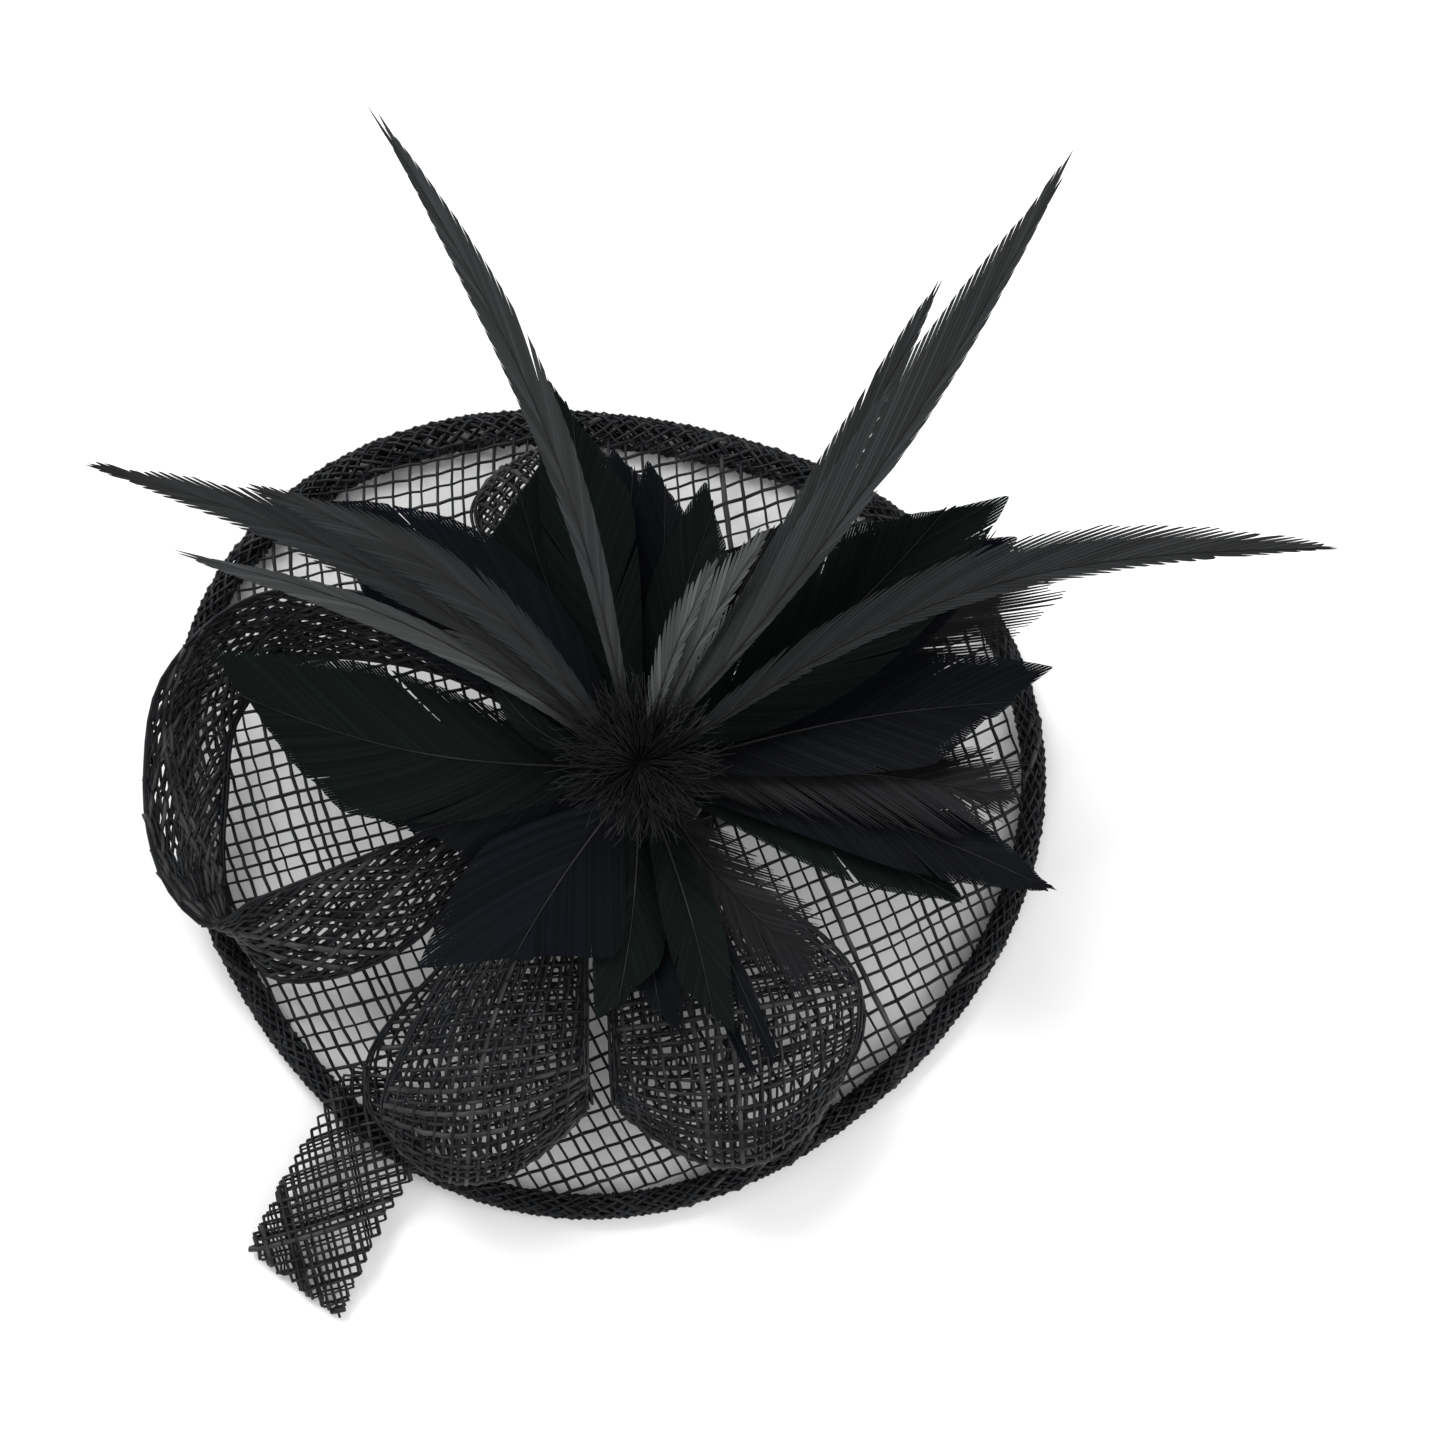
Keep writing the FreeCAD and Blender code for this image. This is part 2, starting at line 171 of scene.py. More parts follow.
def make_fibre_group():
    """Colour that drifts between two tones, and the height of fine fibres."""
    tree = bpy.data.node_groups.new("fibre_effect", "ShaderNodeTree")
    socket(tree, "Dark", "NodeSocketColor", "INPUT", (0.01, 0.01, 0.01, 1))
    socket(tree, "Light", "NodeSocketColor", "INPUT", (0.05, 0.05, 0.05, 1))
    socket(tree, "Patch Scale", "NodeSocketFloat", "INPUT", 300.0)
    socket(tree, "Fibre Scale", "NodeSocketFloat", "INPUT", 2500.0)
    socket(tree, "Color", "NodeSocketColor", "OUTPUT")
    socket(tree, "Roughness", "NodeSocketFloat", "OUTPUT")
    socket(tree, "Height", "NodeSocketFloat", "OUTPUT")
    nodes = tree.nodes
    start = nodes.new("NodeGroupInput")
    end = nodes.new("NodeGroupOutput")
    place = nodes.new("ShaderNodeTexCoord")
    patch = nodes.new("ShaderNodeTexNoise")
    fibre = nodes.new("ShaderNodeTexNoise")
    spread = nodes.new("ShaderNodeMapRange")
    mix = nodes.new("ShaderNodeMix")
    gloss = nodes.new("ShaderNodeMapRange")
    mix.data_type = "RGBA"
    set_inputs(spread, From_Min=0.35, From_Max=0.70)
    set_inputs(gloss, To_Min=0.62, To_Max=0.38)
    wire_up(tree,
            (place, "Object", patch, "Vector"),
            (place, "Object", fibre, "Vector"),
            (start, "Patch Scale", patch, "Scale"),
            (start, "Fibre Scale", fibre, "Scale"),
            (patch, "Fac", spread, "Value"),
            (spread, "Result", mix, "Factor"),
            (start, "Dark", mix, "A"),
            (start, "Light", mix, "B"),
            (mix, "Result", end, "Color"),
            (spread, "Result", gloss, "Value"),
            (gloss, "Result", end, "Roughness"),
            (fibre, "Fac", end, "Height"))
    return tree


fibre_group = make_fibre_group()
print("shared effect made:", fibre_group.name)

# %% Yarn, thread and felt materials
def new_material(name):
    """Empty material, its nodes and its shader."""
    material = bpy.data.materials.new(name)
    material.use_nodes = True
    nodes = material.node_tree.nodes
    return material, nodes, nodes["Principled BSDF"]


def fibre_material(name, dark, light, patch_scale, fibre_scale, bump, sheen=0.0, mirror=0.18):
    """Material that takes colour, roughness and bump from the fibre effect."""
    material, nodes, shader = new_material(name)
    effect = nodes.new("ShaderNodeGroup")
    effect.node_tree = fibre_group
    set_inputs(effect, Dark=(*dark, 1), Light=(*light, 1),
               Patch_Scale=patch_scale, Fibre_Scale=fibre_scale)
    relief = nodes.new("ShaderNodeBump")
    set_inputs(relief, Strength=bump, Distance=0.0001)
    wire_up(material.node_tree,
            (effect, "Color", shader, "Base Color"),
            (effect, "Roughness", shader, "Roughness"),
            (effect, "Height", relief, "Height"),
            (relief, "Normal", shader, "Normal"))
    set_inputs(shader, Sheen_Weight=sheen, Specular_IOR_Level=mirror)
    return material


yarn_black = fibre_material(
    "yarn_black", (0.0015, 0.002, 0.003), (0.008, 0.009, 0.011), 260, 3000, 0.4)
yarn_charcoal = fibre_material(
    "yarn_charcoal", (0.003, 0.0035, 0.004), (0.018, 0.018, 0.020), 220, 3000, 0.5)
yarn_flat = fibre_material(
    "yarn_flat", (0.008, 0.008, 0.009), (0.040, 0.039, 0.041), 180, 3500, 0.6)
yarn_finishes = [yarn_black, yarn_charcoal, yarn_flat]
thread_black = fibre_material(
    "thread_black", (0.006, 0.006, 0.007), (0.02, 0.02, 0.022), 900, 6000, 0.6)
felt_black = fibre_material(
    "felt_black", (0.006, 0.006, 0.008), (0.022, 0.022, 0.025), 600, 2200, 0.9, 0.3)
print("yarn, thread and felt finishes made")

# %% [markdown]
# ## Materials: feathers, steel and wire
# Goose feathers dyed black drink in light and show a faint blue or green cast. Cock
# hackles are glossier. Their grey sheen is painted into the base colour: each barb gets
# its own lighter or darker tone, so the painted sheen comes out striped, and the fan's
# pale grey is painted sheen as well. Every barb carries a small number called tone, which
# the material mixes with slow patches over the feather. The clip is nickel-plated sheet
# steel, with the fine long scratches that rolling leaves.

# %% Feather materials
def feather_material(name, dark, light, tint, gloss, sheen, mirror):
    """Black feather: each barb has its own tone, with slow patches of a dye tint; on hackles the
    light end of the tone is painted sheen.
    """
    material, nodes, shader = new_material(name)
    tone = nodes.new("ShaderNodeAttribute")
    tone.attribute_name = "tone"
    by_barb = nodes.new("ShaderNodeMix")
    by_barb.data_type = "RGBA"
    set_inputs(by_barb, A=(*dark, 1), B=(*light, 1))
    effect = nodes.new("ShaderNodeGroup")
    effect.node_tree = fibre_group
    set_inputs(effect, Dark=(1, 1, 1, 1), Light=(*tint, 1), Patch_Scale=60, Fibre_Scale=5000)
    dyed = nodes.new("ShaderNodeMix")
    dyed.data_type = "RGBA"
    dyed.blend_type = "MULTIPLY"
    set_inputs(dyed, Factor=1.0)
    shine = nodes.new("ShaderNodeMapRange")
    set_inputs(shine, To_Min=gloss + 0.12, To_Max=gloss - 0.06)
    relief = nodes.new("ShaderNodeBump")
    set_inputs(relief, Strength=0.35, Distance=0.00005)
    wire_up(material.node_tree,
            (tone, "Fac", by_barb, "Factor"),
            (by_barb, "Result", dyed, "A"),
            (effect, "Color", dyed, "B"),
            (dyed, "Result", shader, "Base Color"),
            (tone, "Fac", shine, "Value"),
            (shine, "Result", shader, "Roughness"),
            (effect, "Height", relief, "Height"),
            (relief, "Normal", shader, "Normal"))
    set_inputs(shader, Sheen_Weight=sheen, Sheen_Roughness=0.4, Specular_IOR_Level=mirror)
    return material


goose_blue = feather_material("goose_blue_black", (0.0004, 0.0006, 0.001),
                              (0.0030, 0.0036, 0.005), (0.7, 0.9, 1.3), 0.60, 0.0, 0.06)
goose_green = feather_material("goose_green_black", (0.0004, 0.0009, 0.001),
                               (0.0024, 0.0045, 0.004), (0.7, 1.2, 1.0), 0.60, 0.0, 0.06)
goose_sheer = feather_material("goose_sheer_edge", (0.001, 0.001, 0.0014),
                               (0.008, 0.007, 0.008), (1.0, 0.95, 1.1), 0.60, 0.0, 0.10)
# Hackle base colours hold painted sheen: the light tone stands in for the grey light the barbs
# catch, and the fan's pale grey is painted sheen too.
painted_sheen_hackle = feather_material("hackle_grey_painted_sheen", (0.0008, 0.001, 0.001),
                               (0.024, 0.026, 0.027), (0.9, 1.0, 1.05), 0.40, 0.02, 0.28)
faint_painted_sheen_hackle = feather_material("hackle_dark_painted_sheen", (0.0006, 0.0008, 0.001),
                               (0.009, 0.010, 0.011), (0.9, 1.0, 1.05), 0.45, 0.02, 0.16)
painted_sheen_fan = feather_material("hackle_fan_painted_sheen", (0.006, 0.007, 0.007),
                                (0.085, 0.088, 0.090), (0.95, 1.0, 1.0), 0.40, 0.05, 0.35)
down_black = fibre_material(
    "down_black", (0.0006, 0.0007, 0.0008), (0.004, 0.004, 0.0045), 300, 5000, 0.2)
quill_dark = fibre_material(
    "quill_dark", (0.003, 0.003, 0.003), (0.012, 0.012, 0.011), 150, 4000, 0.3)
print("feather finishes made")


# %% Metal materials
def metal_material(name, color, rough, scratch_scale):
    """Metal with fine scratches along the sheet and patches of duller plating."""
    material, nodes, shader = new_material(name)
    set_inputs(shader, Metallic=1.0)
    place = nodes.new("ShaderNodeTexCoord")
    stretch = nodes.new("ShaderNodeMapping")
    set_inputs(stretch, Scale=(0.04, 1, 1))
    scratch = nodes.new("ShaderNodeTexNoise")
    set_inputs(scratch, Scale=scratch_scale)
    worn = nodes.new("ShaderNodeTexNoise")
    set_inputs(worn, Scale=220)
    dull = nodes.new("ShaderNodeMapRange")
    set_inputs(dull, To_Min=rough - 0.10, To_Max=rough + 0.16)
    shade = nodes.new("ShaderNodeMix")
    shade.data_type = "RGBA"
    set_inputs(shade, A=(*[c * 0.72 for c in color], 1), B=(*color, 1))
    relief = nodes.new("ShaderNodeBump")
    set_inputs(relief, Strength=0.25, Distance=0.00003)
    wire_up(material.node_tree,
            (place, "Object", stretch, "Vector"),
            (stretch, "Vector", scratch, "Vector"),
            (place, "Object", worn, "Vector"),
            (worn, "Fac", dull, "Value"),
            (dull, "Result", shader, "Roughness"),
            (worn, "Fac", shade, "Factor"),
            (shade, "Result", shader, "Base Color"),
            (scratch, "Fac", relief, "Height"),
            (relief, "Normal", shader, "Normal"))
    return material


nickel_plate = metal_material("nickel_plate", (0.62, 0.61, 0.58), 0.30, 6000)
spring_wire = metal_material("spring_wire", (0.45, 0.45, 0.46), 0.36, 9000)
print("metal finishes made")

# %% [markdown]
# ## Cloth made of yarns
# An open net looks wrong as a sheet with a pattern on it: the eye sees each yarn pass
# over one neighbour and under the next. So every sinamay piece is really woven here.
# The flat cloth has two families of yarns at any two angles. Each yarn becomes one
# spline whose points are the crossings, lifted and lowered in turn, and a bevel gives
# it a section. A function then says where a place on the flat cloth lies in space.
# Gaps and yarn sizes are uneven, because banana fibre is.

# %% Weaving tools
yarn_pitch = 2.2 * mm
yarn_radius = 0.21 * mm


def new_cloth(name):
    """Empty curve object that yarns are added to."""
    curve = bpy.data.curves.new(name, "CURVE")
    curve.dimensions = "3D"
    curve.bevel_depth = 1.0
    curve.bevel_resolution = 1
    curve.use_fill_caps = True
    for finish in yarn_finishes:
        curve.materials.append(finish)
    return bpy.data.objects.new(name, curve)


def yarn_offsets(angle, span, pitch, uneven, rng):
    """Direction across one family of yarns, and how far across each yarn lies."""
    across = Vector((-math.sin(math.radians(angle)), math.cos(math.radians(angle))))
    corners = [Vector((s, t)) for s in span[:2] for t in span[2:]]
    reach = [across.dot(corner) for corner in corners]
    offset = min(reach) + pitch * rng.random()
    offsets = []
    while offset < max(reach):
        offsets.append(offset)
        offset += pitch * (1 + uneven * rng.uniform(-1, 1))
    return across, offsets


def add_yarn(cloth, points, radius, finish):
    spline = cloth.data.splines.new("POLY")
    spline.points.add(len(points) - 1)
    for made, (place, size) in zip(spline.points, points):
        made.co = (*place, 1)
        made.radius = radius * size
    spline.material_index = finish


def lift_direction(place, s, t):
    """Direction straight out of the cloth at a flat place."""
    step = 0.4 * mm
    here = place(s, t)
    return (place(s + step, t) - here).cross(place(s, t + step) - here).normalized()


def weave(cloth, place, inside, angles, span, seed, pitch=yarn_pitch, radius=yarn_radius,
          uneven=0.28, shares=(0.55, 0.35, 0.10)):
    """Two families of yarns over a flat span, shaped by place(s, t)."""
    rng = random.Random(seed)
    families = [yarn_offsets(angle, span, pitch, uneven, rng) for angle in angles]
    for turn, ((across, offsets), (other, others)) in enumerate([families, families[::-1]]):
        area = across.x * other.y - across.y * other.x
        for i, offset in enumerate(offsets):
            finish = rng.choices((0, 1, 2), shares)[0]
            size = rng.uniform(0.62, 1.15) if finish < 2 else rng.uniform(1.25, 1.7)
            run = []
            for j, cross in enumerate(others):
                s = (offset * other.y - cross * across.y) / area
                t = (across.x * cross - other.x * offset) / area
                if inside(s, t):
                    side = 1 if (i + j + turn) % 2 else -1
                    lift = lift_direction(place, s, t) * (side * radius * 0.75)
                    run.append((place(s, t) + lift, rng.uniform(0.9, 1.1)))
                    continue
                if len(run) > 1:
                    add_yarn(cloth, run, radius * size, finish)
                run = []
            if len(run) > 1:
                add_yarn(cloth, run, radius * size, finish)


def close_mesh(bm):
    """Joins the points that lie on each other and turns every face outwards."""
    bmesh.ops.remove_doubles(bm, verts=bm.verts, dist=0.001 * mm)
    bmesh.ops.recalc_face_normals(bm, faces=bm.faces)


def place_piece(name, bm, nodes, finishes, body="headpiece"):
    """Makes a piece from a bmesh, in place of its CAD pieces."""
    mesh = bpy.data.meshes.new(name)
    bm.to_mesh(mesh)
    bm.free()
    piece = bpy.data.objects.new(name, mesh)
    bpy.context.scene.collection.objects.link(piece)
    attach(piece, body)
    if nodes:
        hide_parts(*nodes)
    for finish in finishes:
        mesh.materials.append(finish)
    triangles = sum(len(face.vertices) - 2 for face in mesh.polygons)
    print(name, "has", triangles, "triangles")
    return piece


def curve_to_bmesh(curve_object):
    """Solid mesh of a bevelled curve, with its caps joined on."""
    bpy.context.scene.collection.objects.link(curve_object)
    mesh = bpy.data.meshes.new_from_object(curve_object)
    bpy.data.objects.remove(curve_object)
    bm = bmesh.new()
    bm.from_mesh(mesh)
    bpy.data.meshes.remove(mesh)
    close_mesh(bm)
    return bm


def add_to(whole, part):
    """Adds one bmesh to another and frees it."""
    mesh = bpy.data.meshes.new("part")
    part.to_mesh(mesh)
    part.free()
    whole.from_mesh(mesh)
    bpy.data.meshes.remove(mesh)


def second_finish(bm, first_face):
    """Gives every face from a number onwards the piece's second finish."""
    bm.faces.ensure_lookup_table()
    for face in bm.faces[first_face:]:
        face.material_index = 1


def round_bar(points, radius, resolution=1, closed=False):
    """Closed round bar through (place, size) points."""
    curve = bpy.data.curves.new("bar", "CURVE")
    curve.dimensions = "3D"
    curve.bevel_depth = radius
    curve.bevel_resolution = resolution
    curve.use_fill_caps = not closed
    spline = curve.splines.new("POLY")
    spline.points.add(len(points) - 1)
    spline.use_cyclic_u = closed
    for made, (place, size) in zip(spline.points, points):
        made.co = (*place, 1)
        made.radius = size
    return curve_to_bmesh(bpy.data.objects.new("bar", curve))


def finish_cloth(cloth, node):
    """Turns the yarns into one mesh that stands for its CAD piece."""
    name, finishes = cloth.name, list(cloth.data.materials)
    return place_piece(name, curve_to_bmesh(cloth), [node], finishes)


print("weaving tools ready")

# %% [markdown]
# ## The saucer
# The base is a square of sinamay that was wetted and pulled over a shallow block. The
# block bends its straight yarns into curves, so the mesh is square in one place and
# leans into diamonds in another. The flat cloth is turned and bowed a little before it
# is laid over the dome, which gives the same drift. The outline is nearly round, with
# three soft bulges.

# %% Saucer shape
mean_radius = 59.7          # of the saucer's outline, in mm
roll_radius = 2.1 * mm
crown_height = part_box("base_disc")[1].z - 0.3 * mm


def rim_radius(angle):
    """Distance from the middle to the saucer's edge, at an angle."""
    return (mean_radius
            + 1.9 * math.cos(angle - math.radians(84))
            + 2.3 * math.cos(2 * angle + math.radians(25))
            + 2.4 * math.cos(3 * angle - math.radians(60))) * mm


def dome_share(x, y):
    return math.hypot(x, y) / rim_radius(math.atan2(y, x))


def dome_height(x, y):
    return roll_radius + (crown_height - roll_radius) * (1 - dome_share(x, y) ** 2)


def blocked_cloth(s, t):
    """Where a place on the flat square lies after blocking."""
    turn = math.radians(18)
    x = s * math.cos(turn) - t * math.sin(turn)
    y = s * math.sin(turn) + t * math.cos(turn)
    bow = 0.30 / (60 * mm)
    x, y = x + bow * y * y * 0.55, y + bow * x * x * 0.35
    x = x - 4.0 * mm
    ripple = noise.noise(Vector((x, y, 0)) * 60) * 0.5 * mm
    return Vector((x + ripple, y - ripple, dome_height(x, y)))


def inside_saucer(s, t):
    spot = blocked_cloth(s, t)
    return dome_share(spot.x, spot.y) < 0.99


saucer = new_cloth("saucer_net")
half = 82 * mm
weave(saucer, blocked_cloth, inside_saucer, (0, 90), (-half, half, -half, half), seed=3,
      shares=(0.80, 0.17, 0.03), radius=0.25 * mm)
saucer = finish_cloth(saucer, "base_disc")

# %% [markdown]
# ## The rolled edge
# A bias strip is rolled round the saucer's edge and a wire, and sewn shut. On the bias
# its yarns lie across each other like a braid, and because the strip goes round nearly
# twice, the roll looks dense. The flat strip is rolled up by turning its width into an
# angle round the wire, with a radius that shrinks as it winds in.

# %% Rolled edge
strip_width = 22 * mm
strip_overlap = 7 * mm
strip_length = 2 * math.pi * mean_radius * mm + strip_overlap
wide_middle, wide_spread = math.radians(97), 0.75     # where the roll is folded wider


def rolled_strip(s, t):
    """Where a place on the flat strip lies, rolled round the wire."""
    angle = s / (mean_radius * mm) + math.radians(70)
    wind = t / roll_radius + math.radians(200)
    radius = roll_radius - 0.35 * mm - 0.45 * mm * (t / strip_width)
    from_wide = math.remainder(angle - wide_middle, 2 * math.pi) / wide_spread
    wide = 1 + 0.55 * math.exp(-from_wide ** 4)
    out = rim_radius(angle) + radius * math.cos(wind) * wide
    out -= (wide - 1) * roll_radius
    height = roll_radius + radius * math.sin(wind)
    return Vector((out * math.cos(angle), out * math.sin(angle), height))


def inside_strip(s, t):
    return 0 <= s <= strip_length and 0 <= t <= strip_width


roll = new_cloth("rolled_edge")
weave(roll, rolled_strip, inside_strip, (34, -34), (0, strip_length, 0, strip_width), seed=5,
      shares=(0.70, 0.26, 0.04), pitch=1.3 * mm, radius=0.26 * mm)
roll = finish_cloth(roll, "rim_roll")

# %% [markdown]
# ## Ribbon loops
# The loops are cut from wide sinamay ribbon. A milliner folds a length over, pushes it
# open until it stands like a blown-up sleeve, and catches both ends down under the
# feathers. The ribbon is a row of stations, each with a left edge, a right edge and how
# far the middle bulges away from the line between them. A smooth curve through the
# stations gives every place on the ribbon, and the net is woven along it.

# %% Ribbon shape
def smooth_value(values, at):
    """Smooth curve through evenly spaced values, at a place counted in stations."""
    first = min(max(int(at), 0), len(values) - 2)
    part = at - first
    before = values[first - 1] if first > 0 else values[first] * 2 - values[first + 1]
    here, there = values[first], values[first + 1]
    after = values[first + 2] if first + 2 < len(values) else there * 2 - here
    return 0.5 * (here * 2 + (there - before) * part
                  + (before * 2 - here * 5 + there * 4 - after) * part ** 2
                  + (here * 3 - before - there * 3 + after) * part ** 3)


def on_cloth(edge):
    """Place at a height above the saucer's cloth, or above the table outside it."""
    x, y, rise = (value * mm for value in edge)
    return Vector((x, y, max(dome_height(x, y), 0) + rise))


def make_ribbon_shape(stations):
    """Function from a flat ribbon, in metres, to its place in space, and its length."""
    left = [on_cloth(station[0]) for station in stations]
    right = [on_cloth(station[1]) for station in stations]
    bulge = [Vector(station[2]) * mm for station in stations]
    middle = [(a + b) / 2 + c for a, b, c in zip(left, right, bulge)]
    reach = [0.0]
    for a, b in zip(middle, middle[1:]):
        reach.append(reach[-1] + (b - a).length)

    def station_at(s):
        s = min(max(s, 0), reach[-1] * 0.99999)
        after = next(i for i, length in enumerate(reach) if length > s)
        return after - 1 + (s - reach[after - 1]) / (reach[after] - reach[after - 1])

    def place(s, share):
        at = station_at(s)
        a, b, c = (smooth_value(row, at) for row in (left, right, bulge))
        return a + (b - a) * share + c * (4 * share * (1 - share))

    return place, reach[-1]


left_loop = [
    ((-1.8, 4.6, 2.0), (-1.8, 5.6, 4.4), (0, 0, 0)),
    ((-10, 11, 2.2), (-11, 14, 7.0), (0, 0, 0)),
    ((-24, 18, 3.0), (-25, 26, 11.0), (0, 0, 0)),
    ((-43, 20, 4.0), (-47, 28, 17.0), (0, 0, 0)),
    ((-52, 12, 3.6), (-61, 17, 19.0), (-1, 0, 0)),
    ((-53.5, 1, 3.6), (-64, 2, 18.5), (-1.5, 0, 0)),
    ((-54, -8, 3.6), (-62, -11, 16.5), (-1, 0, 0)),
    ((-52.5, -17, 4.0), (-55.5, -18.5, 13.0), (0, 0, 0)),
    ((-47.5, -25, 3.0), (-49, -15.5, 12.5), (0, 0, 0)),
    ((-38, -25.5, 2.6), (-41, -12.5, 11.0), (0, 0, 1)),
    ((-27, -21.5, 3.6), (-30, -8.5, 10.0), (0, 0, 2)),
    ((-17, -13, 4.6), (-18, -4.5, 8.5), (0, 0, 1)),
    ((-2.2, -1.2, 2.0), (-2.2, -0.2, 4.4), (0, 0, 0)),
]
lower_left_loop = [
    ((1.5, -6.3, 2.0), (4.5, -7.2, 2.0), (0, 0, 0)),
    ((-11, -14, 2.0), (-1, -14, 2.0), (0, 0, 0)),
    ((-23, -25, 2.2), (-2, -24, 2.2), (0, 0, 0)),
    ((-32, -35, 2.8), (-2, -34, 2.2), (0, 0, 0)),
    ((-33, -43, 4.8), (-1.5, -41, 3.2), (0, -4, 0)),
    ((-30, -47.5, 6.5), (-0.5, -43.5, 5.5), (-1, -8.5, 0)),
    ((-29.5, -47.5, 10.0), (-0.5, -43.0, 8.0), (-1, -8.0, 3)),
    ((-30, -43, 12.0), (-1, -39, 8.0), (0, -3, 6)),
    ((-26, -34, 11.0), (-1, -31, 6.5), (0, 0, 6)),
    ((-20, -24, 8.6), (-1, -22, 5.5), (0, 0, 4.5)),
    ((-9.5, -13, 5.2), (0, -13, 4.6), (0, 0, 2)),
    ((1.5, -6.3, 4.6), (4.5, -7.2, 4.6), (0, 0, 0)),
]
lower_right_loop = [
    ((8.0, -7.2, 2.0), (11.5, -6.4, 2.0), (0, 0, 0)),
    ((4, -14, 2.0), (18, -12, 2.0), (0, 0, 0)),
    ((2.5, -24, 2.0), (30, -19, 2.0), (0, 0, 0.3)),
    ((2.5, -34, 2.2), (37.5, -27, 2.2), (0, 0, 0.8)),
    ((2.5, -41, 3.2), (38, -34, 3.2), (0, -5, 0.6)),
    ((2.5, -43.5, 6.0), (35, -40, 6.5), (2, -10, 0)),
    ((2.5, -43.0, 8.5), (35, -39.5, 10.0), (2, -9.5, 3)),
    ((2.2, -39, 8.0), (37.5, -33, 12.0), (1, -4, 6)),
    ((2, -31, 6.5), (36.5, -25, 11.0), (0, 0, 6)),
    ((2, -22, 5.5), (28, -17, 8.6), (0, 0, 4.5)),
    ((4.5, -13, 4.6), (17, -11, 5.2), (0, 0, 2)),
    ((8.0, -7.2, 4.6), (11.5, -6.4, 4.6), (0, 0, 0)),
]
top_loop = [
    ((0.5, 11.5, 2.0), (5.0, 12.5, 2.0), (0, 0, 0)),
    ((-8, 21, 2.1), (9, 21, 2.1), (0, 0, 0)),
    ((-14, 31, 2.1), (9, 31, 2.1), (0, 0, 0)),
    ((-17.5, 40, 2.2), (8, 40, 2.2), (0, 2, 0)),
    ((-16.5, 45, 5.0), (7, 45.5, 5.0), (0, 5.5, 0)),
    ((-16.5, 45, 8.0), (7, 45.5, 8.0), (0, 5.0, 2)),
    ((-18, 40, 9.5), (8.5, 40, 9.5), (0, 2, 4)),
    ((-14.5, 31, 8.0), (9.5, 31, 8.0), (0, 0, 4)),
    ((-8, 21, 6.0), (9.5, 21, 6.0), (0, 0, 2.5)),
    ((0.5, 11.5, 4.6), (5.0, 12.5, 4.6), (0, 0, 0)),
]
tail_ribbon = [
    ((-20, -46, 1.35), (-33.5, -37, 1.35), (0, 0, 0)),
    ((-24, -50, 3.0), (-38, -40, 3.0), (0, 0, 0)),
    ((-29, -58, 4.4), (-43, -49, 3.4), (0, 0, 0.4)),
    ((-33, -66, 3.6), (-47, -57, 3.6), (0, 0, 0.8)),
    ((-37, -74, 1.2), (-51, -64, 1.2), (0, 0, 0)),
]
print("ribbon stations:", len(left_loop), len(lower_left_loop), len(lower_right_loop),
      len(top_loop), len(tail_ribbon))

# %% [markdown]
# ## Gathering the ribbon
# The ribbon is one width all along, but at its two ends it is pinched to a few
# millimetres. The yarns don't vanish there: they bunch together. So the flat cloth
# keeps its full width, and only the share of the width is handed to the shape. The
# selvedge is two stouter yarns on each long side, and near the middle of the headpiece
# small pleats ripple the cloth.

# %% Weave a ribbon
ribbon_shares = (0.5, 0.38, 0.12)       # black, charcoal and flat yarns
pleat = 0.6 * mm
selvedge_steps = 60


def weave_ribbon(name, node, stations, width, angles, seed, pitch, radius, layers, selvedges):
    """Net ribbon through its stations, in one or more layers, with selvedges."""
    shape, length = make_ribbon_shape(stations)
    cloth = new_cloth(name)
    phase = seed * 1.7

    for layer, lift in enumerate(layers):
        def place(s, t, lift=lift):
            share = min(max(t / width + 0.5, 0.0), 1.0)
            point = shape(s, share)
            near_end = max(0.0, 1 - min(s, length - s) / (0.25 * length))
            ripple = pleat * near_end * math.sin(t / width * 30 + phase)
            sway = noise.noise(point * 90 + Vector((phase, 0, 0))) * 0.7 * mm
            return point + Vector((0, 0, lift + ripple + sway))

        def inside(s, t):
            return 0 <= s <= length and abs(t) <= width / 2

        weave(cloth, place, inside, angles, (0, length, -width / 2, width / 2),
              seed + layer, pitch, radius, shares=ribbon_shares)
        for side in selvedges:
            for inset in (0.0, 0.55 * mm):
                t = side * (width / 2 - inset)
                steps = [length * i / selvedge_steps for i in range(selvedge_steps + 1)]
                add_yarn(cloth, [(place(s, t), 1.0) for s in steps], radius * 0.9, 0)
    piece = finish_cloth(cloth, node)
    print(name, "is cut", round(length * 1000), "by", round(width * 1000), "mm")
    return piece, length


# name, node, stations, width, yarn angles, seed, pitch, yarn radius, heights of its layers
loops = [
    ("left_ribbon", "left_loop", left_loop, 17, (24, -24), 11, 1.55, 0.27, (0.0, 1.1)),
    ("lower_left_puff", "lower_left_loop", lower_left_loop, 32, (4, 90), 21, 1.6, 0.28, (0.0,)),
    ("lower_right_puff", "lower_right_loop", lower_right_loop, 36, (-4, 90), 31, 1.65, 0.27, (0.0,)),
    ("top_puff", "top_loop", top_loop, 26, (36, -36), 41, 1.6, 0.27, (0.0,)),
    ("tail_end", "tail_ribbon", tail_ribbon, 17, (43, -43), 51, 1.3, 0.24, (-0.35, 0.45)),
]
for name, node, stations, width, angles, seed, pitch, radius, layers in loops:
    selvedges = () if name == "tail_end" else (-1, 1)
    width *= mm
    heights = [lift * mm for lift in layers]
    piece, length = weave_ribbon(name, node, stations, width, angles, seed,
                                 pitch * mm, radius * mm, heights, selvedges)

